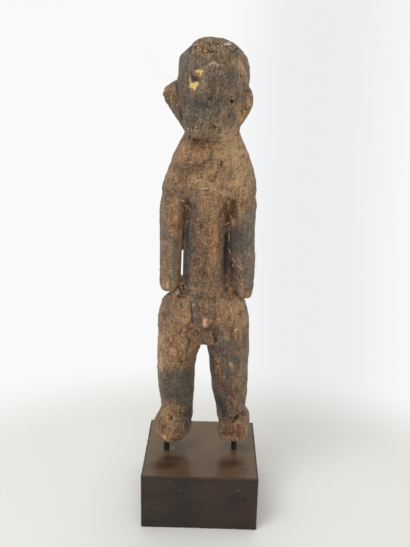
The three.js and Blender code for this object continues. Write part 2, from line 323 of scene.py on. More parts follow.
def tube(path, radii, sides=8):
    # A ring is carried along the path. Each ring's points are centre + radius * (a * cos + b * sin),
    # where a and b stand square to the path's direction, and one point closes each end. Returns points
    # and faces.
    path = np.asarray(path, float)
    radii = np.broadcast_to(radii, len(path))
    ahead = np.gradient(path, axis=0)
    ahead /= np.linalg.norm(ahead, axis=1)[:, None]
    guide = np.where(np.abs(ahead[:, [2]]) > 0.9, (1.0, 0, 0), (0, 0, 1.0))
    a = np.cross(ahead, guide)
    a /= np.linalg.norm(a, axis=1)[:, None]
    b = np.cross(ahead, a)
    angle = np.arange(sides) / sides * 2 * np.pi
    ring = a[:, None] * np.cos(angle)[:, None] + b[:, None] * np.sin(angle)[:, None]
    rings = path[:, None] + radii[:, None, None] * ring
    points = np.concatenate([rings.reshape(-1, 3), path[[0, -1]]])
    first = np.arange(len(path) - 1)[:, None] * sides + np.arange(sides)
    after = np.arange(len(path) - 1)[:, None] * sides + (np.arange(sides) + 1) % sides
    quads = np.stack([first, after, after + sides, first + sides], axis=-1).reshape(-1, 4)
    start = np.arange(sides)
    end = start + (len(path) - 1) * sides
    low, high = len(points) - 2, len(points) - 1
    caps = [(low, int(j), int(i)) for i, j in zip(start, np.roll(start, -1))]
    caps += [(high, int(i), int(j)) for i, j in zip(end, np.roll(end, -1))]
    return points, quads.tolist() + caps


def makePiece(name, points, faces, finish, replaced=()):
    # Puts points and faces into a mesh, merges its seams, turns its faces outwards and hands it to the
    # frame.
    mesh = bpy.data.meshes.new(name)
    mesh.from_pydata((np.asarray(points) / 1000).tolist(), [], faces)
    solid = bmesh.new()
    solid.from_mesh(mesh)
    bmesh.ops.remove_doubles(solid, verts=solid.verts, dist=1e-6)
    bmesh.ops.recalc_face_normals(solid, faces=solid.faces)
    solid.to_mesh(mesh)
    solid.free()
    return handOver(name, mesh, finish, replaced)


def handOver(name, mesh, finish, replaced=()):
    # Makes a smooth-shaded object of the mesh, with its finish, and tells the frame what it is.
    piece = bpy.data.objects.new(name, mesh)
    scene.collection.objects.link(piece)
    mesh.polygons.foreach_set("use_smooth", [True] * len(mesh.polygons))
    mesh.materials.clear()
    mesh.materials.append(finish)
    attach(piece, "root")
    if replaced:
        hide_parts(*replaced)
    print(name, len(mesh.polygons), "faces")
    return piece


def setMask(mesh, name, values):
    # Gives the mesh one number at each point, which a finish reads with mask.
    layer = mesh.attributes.new(name, "FLOAT", "POINT")
    layer.data.foreach_set("value", np.asarray(values, np.float32))


def setColour(mesh, name, values):
    # Gives the mesh a solid colour at each point.
    layer = mesh.attributes.new(name, "FLOAT_COLOR", "POINT")
    solidValues = np.column_stack([values, np.ones(len(values))])
    layer.data.foreach_set("color", solidValues.astype(np.float32).ravel())


# The carved figure: the CAD solid's surface, rounded over as a worn carving is, then carved, pitted and
# painted

carving = {
    "grain": 1,  # spacing of the new surface's points
    "rounds": 30,  # passes that round the facets over
    "crispRounds": 5,  # passes where an edge stays crisp
    "swell": 0.38,  # makes up for what the rounding takes off
    "lean": 0.22,  # how much more of that on the right, and less on the left
    # Depth and size of each kind of wear, first the tool's flats
    "adze": (0.4, (11, 11, 15)),
    "erosion": (0.3, (4.5, 4.5, 8)),
    "fibre": (0.12, (1.7, 1.7, 14)),
    "crumb": (0.5, 2.8),
    "pits": (0.12, 2.4),
    "crispFront": 2,  # edges stay crisp in front of this Y
    "crownGive": 1,  # the crown eases to a stop over this much below the solid's top
}

# The see-through gap between the left arm and the body: its middle, half its size, and how far the wood
# swells into it, in place of all other carving
gap = {"place": (-19.4, -6, 226), "half": (4.6, 22, 21), "give": 0.42}

# The end of the left arm reaches a little lower: the middle and size of the part that moves, the heights
# over which the move sets in, and how far it drops
armEnd = {"place": (-32, -3, 203), "size": (7, 9, 7), "setsIn": (200, 202), "drop": 2.4}

# Places where the wood keeps its crisp edges: width and path
crispEdges = [
    (11, (20, 77), (37, 77)),
    (7, (-31, 203), (-27, 199)),
    (6, (33, 197), (36, 199)),
]

# Strokes carved into the front: width, depth (below 0 stands out), and path
carvedStrokes = [
    (3.8, 0.3, (-10.4, 374.8)),
    (3.2, -0.7, (4.8, 375.4)),
    (2.6, -0.35, (-2.6, 381), (-3.6, 372), (-4.1, 365.5)),
    (1.7, 0.3, (-9.5, 361.5), (-4, 362.6), (2, 361.4)),
    (3, 0.6, (-13.7, 356.3), (-7.5, 355.6), (-0.7, 355.4), (5.2, 357.3)),
    (2.6, -0.5, (-9.6, 349.8), (-4.3, 349.9), (0.9, 350.3)),
    (1.1, 0.5, (0.9, 348.8), (3.9, 348.5), (8.5, 346.9)),
    (1.3, 1, (-9, 329.8), (-3, 330.4), (2, 331), (7, 331.6), (12, 333.4), (14.5, 336)),
    (2, 0.7, (15.4, 348.3)),
    (2.2, -0.5, (-1, 384), (3, 385), (7, 384)),
    (2.6, -0.9, (-9.6, 401.3), (-7.3, 402)),
    (1.6, -0.6, (-2.6, 398.4)),
    (1.4, 0.5, (-1.4, 396), (1.6, 394)),
    (2.2, 0.8, (-29.5, 366), (-31, 359)),
    (1.5, -0.6, (-34.6, 368), (-37, 361), (-34, 353)),
    (0.8, 0.6, (11.8, 312.6), (10.3, 307.6)),
    (0.8, 0.6, (8.7, 304.8), (6.3, 299.7)),
    (2, 0.45, (4, 322), (0.8, 313.6), (-7, 307)),
    (1.8, 0.3, (-22.5, 282.6), (-16.3, 281.4), (-8.1, 282.2)),
    (1.6, 0.3, (12.6, 282.5), (18.2, 283.9), (24.6, 282), (27.2, 277)),
    (5, 1.6, (-16, 275), (-15, 266)),
    (5, 1.8, (18, 276), (20, 268)),
    (0.8, 0.8, (-31.2, 211), (-30.6, 203.5)),
    (1, 0.4, (12.2, 209), (13, 202.5), (15.5, 199), (18, 200.5), (19.4, 205)),
    (1.1, 0.4, (-17, 199.8), (-11.9, 203.3), (-3.5, 203.9), (2.4, 202), (8, 196)),
    (0.9, 0.6, (-11.2, 195.5), (-10.3, 186.4), (-9.1, 176.6)),
    (1.3, 0.5, (-11.1, 161.5), (-12.7, 155.1), (-14, 148)),
    (1.2, 0.6, (-5.6, 175), (1, 173.8), (6.5, 175.4)),
    (1, -0.6, (-8.4, 174.8), (-5.3, 172.4)),
    (1.3, -0.6, (5.4, 169), (6.8, 164), (7.2, 157.6)),
    (1.4, 0.6, (8.3, 168), (11, 160)),
    (1.5, -0.6, (18.5, 164.7), (21.9, 163), (25, 165)),
    (1.3, -0.5, (25, 171.6), (27.4, 168.6)),
    (1.3, 0.5, (23.4, 168), (22.4, 172)),
    (1.6, 0.4, (12.2, 152), (14, 141), (16, 130)),
    (2.2, -0.7, (23.5, 141)),
    (1, 0.3, (19, 145.5), (23.5, 147.2), (28, 144.5)),
    (0.9, 0.2, (-31, 128), (-23, 125.6), (-15, 127)),
    (0.9, 0.2, (-30, 119), (-22, 117), (-14, 119)),
    (2.4, 0.4, (-37, 95.5), (-27, 98.4), (-15, 96)),
    (1.6, 0.4, (-20, 92), (-16, 82), (-19, 71)),
    (1.1, 0.5, (-29.2, 90), (-27.7, 87.8), (-26.6, 84)),
    (1.3, -0.6, (-24.7, 79.2), (-25.5, 72.7), (-27.3, 68.4)),
    (1.1, 1.8, (31, 88), (29.4, 86.7), (28.4, 85.6), (27.4, 84.2)),
    (1, 0.6, (32.4, 88.4)),
]

# Local swellings that bring the outline to the real one's: radius, amount, and place
swellings = [
    (10, 0.5, (31, -6, 390)),
    (20, -0.9, (3, 0, 407)),
    (7, -1.6, (-16, -4, 401)),
    (6, -1, (-27, -6, 380)),
    (5, 0.7, (-23, -5, 392)),
    (6, -2, (26.5, -5, 338)),
    (6, 1.5, (38, -4, 277)),
    (5, -0.7, (31, -4, 351)),
    (6, 0.9, (42, -2, 284)),
    (5, 1.5, (-33, -1, 195)),
    (5, 0.8, (-37, -4, 193)),
    (8, -0.6, (-43, -4, 185)),
    (14, 0.5, (-10, -4, 118)),
    (16, 1.5, (13, -4, 112)),
    (8, 0.7, (39, -1, 151)),
    (7, 0.6, (-26, -6, 372)),
]

# Worm holes: radius, depth, x, z
wormHoles = [
    (1.25, 3, 17.8, 358.9),
    (0.7, 1.6, 23.8, 377.7),
    (0.85, 1.8, 20.7, 396.8),
    (1.1, 2.4, -26, 86.6),
    (1, 3.4, 31.8, 88.2),
    (0.8, 1.2, -9.8, 171.5),
]

# Strokes on the side turned away from the viewer
carvedBehind = [
    (1.4, 0.9, (2.4, 318), (1.2, 290), (0.4, 262), (-0.6, 232), (-0.4, 204)),
    (0.7, 1.5, (9.5, 392), (8.2, 371), (9.4, 349)),
    (0.6, 1.2, (-27, 262), (-28.5, 238), (-29.8, 212)),
    (1, 0.7, (-20, 146), (-21, 128), (-19.5, 112)),
    (1.3, 1, (0.2, 196), (0.4, 178), (0, 163)),
    (1.1, 0.6, (-34, 158), (-20, 151.5), (-8, 153)),
    (1.1, 0.6, (8, 153), (20, 151.5), (34, 158)),
]
wormHolesBehind = [
    (1, 2.6, -8.5, 381),
    (0.8, 2, 12.6, 366),
    (0.8, 2, -14.5, 300),
    (1, 2.4, 20.5, 286.5),
    (0.8, 2, 9.2, 243),
    (0.9, 2.2, -21.8, 180.5),
    (0.8, 2, 24.5, 122),
]

# Each pigment's colour, how crusty it is (0 smooth, 1 crumbling), and how deep it lies. The strokes
# also use soot, shade and gloom as painted shade.
pigments = {
    "clay": ((142, 110, 78), 0.6, 0),
    "tan": ((166, 134, 96), 0.5, 0),
    "wheat": ((182, 151, 110), 0.45, 0),
    "sand": ((152, 126, 93), 0.8, 0),
    "honey": ((162, 123, 78), 0.6, 0),
    "ochre": ((142, 114, 74), 0.9, 0),
    "amber": ((148, 104, 62), 0.7, 0),
    "rust": ((120, 80, 54), 0.7, 0),
    "brick": ((94, 58, 42), 0.4, 0),
    "umber": ((108, 84, 62), 0.7, 0),
    "bark": ((78, 58, 42), 0.6, 0.1),
    "soil": ((64, 47, 31), 0.9, 0.2),
    "sootAndShade": ((40, 33, 29), 0.1, 0.1),
    "shade": ((70, 62, 57), 0.1, 0),
    "grape": ((80, 60, 52), 0.4, 0),
    "plum": ((100, 80, 66), 0.5, 0),
    "plumRed": ((110, 78, 58), 0.6, 0),
    "mauve": ((130, 102, 90), 0.3, 0),
    "slate": ((82, 73, 62), 0.3, 0),
    "gloom": ((64, 56, 50), 0.2, 0),
    "ash": ((120, 107, 91), 0.4, 0),
    "lichen": ((106, 101, 88), 0.3, 0),
    "drift": ((110, 93, 74), 0.7, 0),
    "moss": ((112, 101, 76), 0.6, 0),
    "rosy": ((158, 124, 100), 0.5, 0),
    "rosyDim": ((138, 103, 87), 0.4, 0),
    "chalk": ((190, 172, 144), 0.5, -0.15),
    "straw": ((206, 176, 122), 0.7, 0),
    "crumbs": ((106, 88, 64), 1, 0),
    "bare": ((228, 197, 134), 0, 0.3),
    "fresh": ((204, 164, 130), 0, 0.25),
}

# Broad weathering that no stroke places: pigment, size of its patches, where it starts, and strength
weather = [
    ("tan", (15, 15, 24), 0.05, 0.4),
    ("umber", (11, 11, 20), 0.1, 0.5),
    ("slate", (22, 22, 34), 0.3, 0.85),
    ("rust", (8, 8, 15), 0.35, 0.6),
    ("moss", (10, 10, 13), 0.4, 0.45),
    ("plum", (6, 6, 12), 0.3, 0.35),
]

# Strokes of pigment on the front, each over the ones before it: pigment, half width, strength and path.
# Some are painted shade in grooves, creases and undercuts, and a few are painted highlight.
paint = [
    # Head
    ("drift", 18.5, 0.9, (-3, 389.5), (-1.5, 351)),
    ("drift", 10.1, 0.5, (-3, 351), (-2.5, 342.5)),
    ("slate", 5.9, 0.5, (-19, 389.5), (-19.5, 375)),
    ("tan", 6.7, 0.75, (23, 389), (25, 380.5), (23.5, 372.5)),
    ("wheat", 3.4, 0.75, (25.5, 386), (26.5, 376), (26, 370)),
    ("sand", 2.5, 0.6, (29, 384.5), (29.5, 376), (29.5, 367)),
    ("honey", 3, 0.6, (-11.5, 395.5), (-7, 396.5), (-3.5, 398)),
    ("amber", 1.6, 0.75, (-3.3, 398), (-2.2, 399)),
    ("moss", 2.9, 0.55, (-8, 399.5), (-1, 401), (2.5, 400)),
    ("crumbs", 5, 0.7, (-13, 395.5), (-7, 399), (-1, 401), (6.5, 400.5)),
    ("crumbs", 3.4, 0.6, (8, 400), (15.5, 399), (20, 394.5)),
    ("bark", 2.2, 0.75, (-1, 395.5), (2, 394)),
    ("umber", 3.9, 0.6, (-1, 396), (6.5, 395)),
    ("amber", 1.1, 0.4, (4.9, 395.5), (6.5, 392.7)),
    ("umber", 2.5, 0.6, (-4.5, 392.5), (1.5, 392)),
    ("umber", 2, 0.5, (-20, 388), (-18, 381)),
    ("slate", 2.2, 0.5, (-14.5, 391), (-15, 382.5)),
    ("slate", 2, 0.5, (-9, 391), (-9.5, 385.5)),
    ("slate", 3, 0.4, (-13, 389.5), (-2.5, 389), (5, 390.5)),
    ("ash", 2.5, 0.4, (-17.5, 390), (-16.5, 385)),
    ("bark", 2.5, 0.4, (9.5, 392), (10.5, 384.5)),
    ("umber", 3, 0.5, (18.5, 396), (21.5, 393)),
    ("moss", 2.5, 0.5, (16, 391.5), (18.5, 388)),
    ("sand", 1.3, 0.7, (16.1, 400.3), (18.4, 398.2)),
    ("brick", 1.3, 0.8, (13.8, 398)),
    ("chalk", 0.8, 1, (11.1, 399.8)),
    ("chalk", 1, 1, (13.4, 400.3), (15, 400)),
    ("bark", 1.3, 0.8, (17.3, 394.5), (20, 391.7)),
    ("ochre", 2.9, 0.45, (0, 385), (3, 384)),
    ("chalk", 0.9, 0.5, (0.1, 385.5), (3, 386.5), (5.2, 386)),
    ("chalk", 1.1, 0.85, (6.4, 384.2)),
    ("slate", 7.1, 0.7, (2.5, 377), (11.5, 377), (16.5, 378.5)),
    ("slate", 7.6, 0.75, (7, 370.5), (14.5, 371), (18, 374.5)),
    ("slate", 5.9, 0.8, (8.5, 365.5), (15, 363)),
    ("gloom", 2, 0.3, (3, 378.5), (4.5, 374)),
    ("slate", 4.2, 0.6, (3.5, 362), (9, 360)),
    ("slate", 2.5, 0.4, (-9.5, 384), (-4.5, 384)),
    ("ochre", 1.7, 0.6, (-4.5, 382), (-2, 381)),
    ("plum", 2.9, 0.7, (-17, 379.5), (-14, 378)),
    ("umber", 2.5, 0.6, (-10, 377), (-9.5, 375.5)),
    ("bark", 1.3, 0.5, (-12, 373.8), (-10.5, 373.5)),
    ("rust", 1.5, 0.4, (-8.7, 378.5), (-7.9, 376.1)),
    ("bare", 1, 1, (-8.7, 380.1), (-7.3, 380.5)),
    ("bare", 1.3, 1, (-6.4, 380.4), (-4.7, 380.2)),
    ("bare", 1.1, 1, (-5.3, 379.3), (-5.9, 378)),
    ("amber", 0.9, 0.7, (-11.6, 366.3), (-10.4, 365.9)),
    ("ochre", 1.2, 0.6, (-14.2, 367.9), (-13.9, 366.5)),
    ("honey", 1.3, 0.6, (-9, 378.2), (-8.3, 376.8)),
    ("umber", 2.5, 0.5, (-6.5, 374), (-6.5, 369.5)),
    ("plum", 2.5, 0.6, (-17, 370.5), (-16, 362.5)),
    # The ash down the nose is a painted highlight on its ridge.
    ("ash", 2.9, 0.5, (-3.5, 375.5), (-4, 371), (-3.5, 365.5)),
    ("drift", 2.2, 0.5, (0.5, 375.5), (1.5, 362.5)),
    ("ochre", 1.3, 0.4, (-1, 369.1), (-0.2, 365.6)),
    ("rosy", 1.8, 0.6, (-11, 364.5)),
    ("moss", 1.7, 0.4, (-7.5, 363), (-5.5, 362.5)),
    ("plum", 4.2, 0.5, (-16, 359.5), (-6, 361)),
    # Gloom and soot across the foot of the nose, here and later at this height: painted shade under the nose.
    ("gloom", 3.9, 0.85, (-15.5, 356), (-7.5, 356), (-1, 356), (5, 357.5)),
    ("sootAndShade", 1.3, 0.5, (-6.8, 357.7), (-0.8, 357.3)),
    ("slate", 5, 0.8, (-17, 351.5), (-6, 352.5), (4.5, 352.5)),
    ("slate", 3.4, 0.7, (-16.5, 350), (-15, 346)),
    ("ash", 1.7, 0.3, (-6.5, 350), (-1.5, 350.5)),
    ("gloom", 1.4, 0.55, (1.4, 349.5), (6.2, 348.8)),
    ("slate", 2.2, 0.8, (2.5, 347), (8.5, 347)),
    ("umber", 2.5, 0.6, (9, 357), (10.5, 351)),
    ("slate", 3.4, 0.5, (-2.5, 344.5), (2, 342.5)),
    ("sand", 3, 0.65, (15.5, 365), (19.5, 364.5), (21.5, 361.5)),
    ("chalk", 0.8, 0.8, (20, 363.2)),
    ("chalk", 1.2, 0.55, (18.2, 361.1)),
    ("sand", 2.9, 0.6, (12, 355), (16, 355)),
    ("ochre", 2.5, 0.5, (13.5, 352.5)),
    ("plum", 3, 0.55, (23, 369.5), (27, 368.5)),
    ("slate", 2.5, 0.5, (24, 361), (27.5, 360.5)),
    ("tan", 1.3, 0.6, (28.8, 363.3), (29.8, 357.4)),
    ("honey", 4.2, 0.85, (24.5, 353), (25, 347.5)),
    ("wheat", 3, 0.5, (25.5, 350), (24, 343.5)),
    ("slate", 2.7, 0.75, (17, 349.5)),
    ("rosy", 1.3, 0.5, (10.6, 350.5), (10.7, 346.9)),
    ("tan", 3.7, 0.4, (14, 343), (18, 341), (21.5, 344)),
    ("ash", 1.2, 0.6, (-16.2, 340.7), (-15.7, 336.8)),
    ("sand", 2.2, 0.75, (-11.5, 339), (-8.5, 337.5)),
    ("umber", 1.8, 0.6, (-13.5, 336.5), (-12.5, 334)),
    ("slate", 2.7, 0.5, (-5, 341.5), (-2, 340)),
    ("moss", 3.4, 0.7, (2.5, 337.5), (8, 336)),
    ("ochre", 1.7, 0.5, (-0.5, 338.5), (3.5, 340.5)),
    ("chalk", 0.8, 0.8, (11.4, 337.5)),
    ("umber", 3.4, 0.6, (-13, 329.5), (-5.5, 330.5)),
    ("rosy", 1, 0.5, (-1, 333), (3.5, 332.7)),
    # The brick and bark here, and the rust further on, along the chin's lower edge are painted shade under
    # the chin.
    ("brick", 1.7, 0.95, (0, 331.5), (6, 331), (11, 332.5)),
    ("bark", 1.3, 0.9, (-6.6, 328.5), (2.8, 328.2)),
    # The slate, gloom and soot down the face's left edge, here and further on, are painted shade by the ear.
    ("slate", 2.9, 0.6, (-18.5, 389.5), (-17, 381)),
    ("gloom", 2.9, 0.6, (-18, 373.5), (-18, 362), (-17, 354.5)),
    ("slate", 2.9, 0.5, (-13.5, 375), (-12.5, 365)),
    ("umber", 3.4, 0.4, (-13, 395.5), (-2.5, 395.5), (6.5, 395.5)),
    ("gloom", 4.2, 0.55, (-15.5, 355.5), (-6, 354.5), (3, 355.5)),
    ("slate", 3.4, 0.5, (-13.5, 350), (-1.5, 350.5)),
    ("umber", 3.4, 0.5, (13.5, 351), (14, 344), (18.5, 344)),
    ("umber", 2, 0.5, (25.5, 390.5), (26.5, 384.5)),
    ("slate", 2.2, 0.4, (6.5, 389)),
    ("honey", 2, 0.5, (25.5, 377.5), (26, 373)),
    ("tan", 1.7, 0.5, (33, 362.5)),
    ("chalk", 0.7, 0.8, (-8, 401.5)),
    ("chalk", 0.6, 0.8, (-4.5, 400.5), (-3.7, 399.3)),
    ("chalk", 0.6, 0.7, (-0.8, 402.8)),
    ("honey", 0.8, 0.9, (-2.7, 400.8)),
    ("chalk", 0.6, 0.6, (5.3, 397.7)),
    ("chalk", 0.6, 0.6, (23.2, 384.6), (24.5, 382.4)),
    ("chalk", 0.6, 0.6, (28.7, 375.9)),
    ("gloom", 0.9, 0.7, (8.2, 399.7), (10.1, 397.8)),
    ("gloom", 0.8, 0.7, (23.6, 388.9)),
    ("gloom", 0.8, 0.6, (1.9, 396.9), (3, 394.8)),
    ("crumbs", 2.5, 0.6, (16.5, 364.5), (21, 361.5), (18, 357), (13.5, 352.5)),
    ("crumbs", 2.2, 0.8, (-13, 341), (-11.5, 338)),
    ("crumbs", 2, 0.8, (5, 340.5), (8, 337)),
    ("sand", 0.8, 0.5, (-7.3, 346.6), (-6.5, 344.4)),
    ("crumbs", 2.5, 0.4, (0, 385.5), (4, 384)),
    ("gloom", 2.5, 0.5, (-19, 352.5), (-17, 347), (-15, 341.5)),
    ("gloom", 3.4, 0.4, (-12, 356.5), (-3, 355.5)),
    ("umber", 5.9, 0.35, (-2.5, 395.5), (18.5, 396)),
    ("slate", 3.4, 0.4, (-17.5, 388), (-12.5, 385)),
    ("slate", 3.4, 0.35, (-14.5, 395.5), (-8.5, 392.5)),
    ("gloom", 3.7, 0.5, (-18.5, 359), (-16.5, 350), (-13.5, 344.5)),
    ("gloom", 4.2, 0.35, (-12, 359), (-1.5, 354)),
    ("slate", 3.4, 0.35, (-4.5, 384), (-2, 387)),
    ("slate", 2.5, 0.3, (-12.5, 365), (-6, 362.5)),
    ("umber", 2.5, 0.35, (17.5, 368.5), (21, 365.5)),
    ("gloom", 4.2, 0.8, (-20, 372), (-20, 360), (-18, 351.5), (-15, 344)),
    ("gloom", 3.4, 0.5, (-14, 375), (-14, 369.5), (-15.5, 359)),
    ("slate", 3.4, 0.7, (-21, 389.5), (-20.5, 373.5)),
    ("umber", 5, 0.5, (-14.5, 391), (-6.5, 387), (3.5, 388.5), (11, 387)),
    ("umber", 4.2, 0.5, (10, 368.5), (13, 364.5), (12, 357)),
    ("gloom", 2.5, 0.5, (6, 364), (10.5, 360)),
    ("gloom", 2.5, 0.4, (10.5, 352.5), (12, 347)),
    ("tan", 2.5, 0.5, (23.5, 380.5), (24.5, 374.5)),
    ("bark", 1, 0.6, (21, 392.4), (25, 388.2), (28.4, 381.8), (30.4, 375.1)),
    ("moss", 2.5, 0.4, (3.5, 397), (12.5, 394.5)),
    ("slate", 4.2, 0.6, (-14.5, 389.5), (-11, 385.5)),
    ("ash", 3.4, 0.45, (4.5, 383), (5.5, 374), (6.5, 364)),
    ("slate", 2.5, 0.4, (-3.5, 384), (-2, 387)),
    ("sand", 2.2, 0.5, (17, 359), (19.5, 355.5)),
    ("gloom", 3.4, 0.8, (-17, 353), (-16, 347.5)),
    ("crumbs", 3.4, 1, (-14.5, 395.5), (-7, 399), (-1, 401), (6.5, 400.5)),
    ("crumbs", 2.9, 0.9, (8, 400), (15.5, 399), (20, 394.5)),
    ("crumbs", 2.2, 0.8, (-10, 394), (-2.5, 394.5), (5, 392.5)),
    ("amber", 1.4, 0.8, (-7.3, 396.1), (-4.8, 397.2), (-2.5, 396.5)),
    ("honey", 1.3, 0.8, (-4.6, 399.1), (-2.3, 398.6)),
    ("amber", 1.1, 0.7, (0.8, 399.1), (1.9, 398.1)),
    ("soil", 1, 0.7, (-1.3, 395.8), (1, 395.2)),
    ("soil", 0.8, 0.7, (2.1, 400.6), (4.1, 400.2)),
    ("soil", 0.9, 0.7, (12.3, 397.9), (14.9, 397.6)),
    ("chalk", 0.8, 0.9, (8.6, 399)),
    ("chalk", 1.1, 1, (11.1, 400.2), (14.4, 399.9)),
    ("soil", 0.8, 0.8, (17.5, 395.5), (20.3, 392.4)),
    ("gloom", 3.4, 0.7, (-19, 370.5), (-19, 360), (-17, 351.5), (-15.5, 344.5)),
    ("gloom", 6.7, 0.3, (-15.5, 356), (-6, 352.5), (3, 354)),
    ("gloom", 2.5, 0.6, (-17, 356), (-9, 355)),
    ("slate", 3.4, 0.6, (16, 351), (18.5, 346.5)),
    ("umber", 2.5, 0.4, (-17, 376.5), (-17, 366.5)),
    ("slate", 2.5, 0.3, (-6, 367), (0, 359.5)),
    ("honey", 0.8, 0.6, (-13.1, 366.9), (-12, 365.8)),
    ("moss", 3.4, 0.35, (10, 378.5), (13, 371.5)),
    ("moss", 2.5, 0.35, (-3, 349.5), (4.5, 351.5)),
    ("honey", 3.4, 0.4, (-11.5, 397), (-4, 398.5), (3.5, 400)),
    ("amber", 2, 0.5, (-9, 395.5), (-4, 398)),
    ("crumbs", 3.4, 0.9, (-14.5, 395.5), (-8, 398.5), (-1, 401), (5, 400.5)),
    ("chalk", 0.8, 0.85, (6.3, 384.6)),
    ("chalk", 0.7, 0.55, (0.4, 384.9), (2.2, 386.2), (4.8, 386)),
    ("gloom", 4.2, 0.5, (-19.5, 357), (-9, 356), (-1.5, 355.5)),
    ("gloom", 3.4, 0.6, (-19.5, 352.5), (-18, 347)),
    ("gloom", 3.4, 0.3, (-3.5, 351), (3, 351)),
    ("chalk", 0.7, 0.7, (17.5, 364.3)),
    ("chalk", 0.8, 0.7, (19.8, 362.8)),
    ("chalk", 0.6, 0.6, (18.7, 360.3), (20.2, 360.6)),
    ("chalk", 0.7, 0.6, (14.3, 355.5), (13.2, 354)),
    ("sand", 2, 0.4, (12, 351), (10, 347.5)),
    ("tan", 1.7, 0.4, (30, 371.5), (31, 364)),
    ("gloom", 5, 0.35, (-21, 370.5), (-18.5, 361)),
    ("sootAndShade", 2.2, 0.4, (-18.5, 353.5), (-17, 349.5), (-16, 345)),
    ("slate", 5, 0.4, (11, 371.5), (13.5, 362)),
    ("crumbs", 2.5, 0.6, (-10.5, 400.5), (-4.5, 402.5), (1.5, 403)),
    ("amber", 1.4, 0.75, (-8.8, 396.3), (-6.3, 397.2)),
    ("amber", 1.3, 0.85, (-4.5, 397.7), (-2.3, 398.3)),
    ("honey", 1, 0.7, (-10.7, 395), (-8.4, 394.3)),
    ("sand", 0.8, 0.8, (-9.2, 400), (-7.2, 401.1)),
    ("sand", 0.8, 0.8, (-5.6, 399.9), (-4.6, 400.5)),
    ("sand", 0.8, 0.8, (-1.5, 402.3), (-0, 401.7)),
    ("soil", 0.8, 0.7, (-3.8, 401.7), (-1.6, 400.6)),
    ("soil", 0.8, 0.7, (11.3, 398.9), (13.1, 398.4)),
    ("slate", 2.5, 0.3, (-12.5, 362), (-6, 361)),
    ("bare", 0.6, 0.6, (-14.5, 375.4), (-13.8, 373), (-13.2, 370.9)),
    ("bare", 1.6, 1, (-12.9, 369.9), (-10.6, 369.8)),
    ("bare", 1.3, 1, (-9.8, 370.3), (-8, 371.2)),
    ("bare", 1.3, 1, (-11.3, 368.8), (-10.5, 367.5)),
    ("bare", 0.7, 0.8, (-13.9, 368.9)),
    ("sand", 0.7, 0.7, (-11.9, 366.8), (-11.3, 366.1)),
    ("sootAndShade", 2.5, 0.35, (-18, 352), (-16.5, 347.5)),
    ("crumbs", 2.9, 0.8, (-13, 396), (-8.5, 400.5), (-3.5, 403), (3, 403), (9.5, 401.5)),
    ("amber", 1.3, 0.8, (-7.5, 397.6), (-5.9, 398.5)),
    ("honey", 1.2, 0.7, (-4.9, 400.2), (-2.7, 401.2)),
    ("sand", 1, 0.8, (-9.6, 397.9), (-7.9, 399.6)),
    ("sand", 0.8, 0.8, (-1.5, 402.3), (0.3, 402.5)),
    ("soil", 0.8, 0.7, (-4.6, 402.1), (-2.8, 402.8)),
    ("soil", 0.8, 0.6, (3, 401.5), (5.2, 401.4)),
    ("gloom", 1.7, 0.5, (18.5, 398), (22.5, 393)),
    ("gloom", 1.2, 0.5, (25.8, 387.5), (28.7, 380.3), (30.2, 374.4)),
    # Left ear
    ("umber", 11.8, 0.7, (-29, 363.5), (-24, 353)),
    ("clay", 4.5, 0.75, (-32.5, 365), (-29, 361.5)),
    ("tan", 3, 0.5, (-32.5, 365), (-32, 360.5)),
    ("rosy", 2.5, 0.35, (-30, 363.5)),
    # The bark and gloom by the cheek, here and further on, are painted shade in the groove between ear and
    # cheek.
    ("bark", 2.9, 0.7, (-24.5, 369), (-22, 364.5), (-19.5, 358.5)),
    ("brick", 0.9, 0.8, (-24.7, 363.1)),
    ("moss", 1.3, 0.6, (-22.6, 354.7), (-21.8, 351.7)),
    ("ochre", 1.7, 0.45, (-27.5, 353), (-25, 349)),
    ("gloom", 2.5, 0.6, (-20.5, 351), (-20, 345)),
    ("slate", 1.7, 0.6, (-31, 369.5), (-25.5, 372)),
    ("slate", 1.7, 0.6, (-35, 358), (-29, 351.5), (-24, 345.5)),
    # Right ear
    ("drift", 6.7, 0.6, (30.5, 367), (32, 357.5)),
    ("tan", 1.7, 0.7, (30.5, 361), (31.5, 356.5)),
    ("rosy", 1.3, 0.4, (29.1, 355.1), (27.7, 352.1)),
    ("slate", 1.7, 0.5, (34.5, 359.5)),
    ("slate", 2.5, 0.35, (-32.5, 360.5), (-26, 351.5)),
    ("chalk", 0.7, 0.5, (-30.8, 360.6), (-30, 357.5)),
    ("umber", 2.5, 0.35, (-26, 368.5), (-20.5, 364.5)),
    ("clay", 2.5, 0.4, (-32.5, 366.5), (-30, 363.5)),
    ("gloom", 3.4, 0.45, (-23.5, 369), (-21.5, 363)),
    ("tan", 2, 0.4, (32, 363.5)),
    ("bark", 2.9, 0.4, (-25, 369), (-22.5, 362)),
    # Neck and chest
    ("tan", 9.2, 0.75, (16, 330), (18.5, 323), (22.5, 315), (27, 307.5)),
    ("wheat", 6.7, 0.8, (14.5, 330.5), (20, 328), (24, 322.5)),
    ("wheat", 6.7, 0.55, (3.5, 321.5), (13, 321.5), (23.5, 316.5)),
    ("tan", 2.9, 0.6, (15, 334.5), (22, 336)),
    ("umber", 2.5, 0.6, (-19, 331), (-17, 327.5)),
    ("tan", 2.9, 0.55, (-17, 324), (-19, 318)),
    ("rust", 4.2, 0.75, (-11.5, 326), (-8, 323), (-5.5, 320.5)),
    ("umber", 2.5, 0.7, (-13.5, 327.5), (-12.5, 316)),
    ("amber", 3.4, 0.65, (-1, 324.5), (3, 323.5)),
    ("rust", 4.2, 0.3, (-1.5, 320.5), (0.5, 316.5)),
    ("tan", 4.2, 0.4, (-9.5, 314.5), (-3, 315)),
    ("bark", 2.7, 0.55, (3, 316.5), (1, 313), (-2.5, 309.5), (-7.5, 307)),
    ("umber", 2.9, 0.5, (-8.5, 307), (-16.5, 305.5), (-24, 305)),
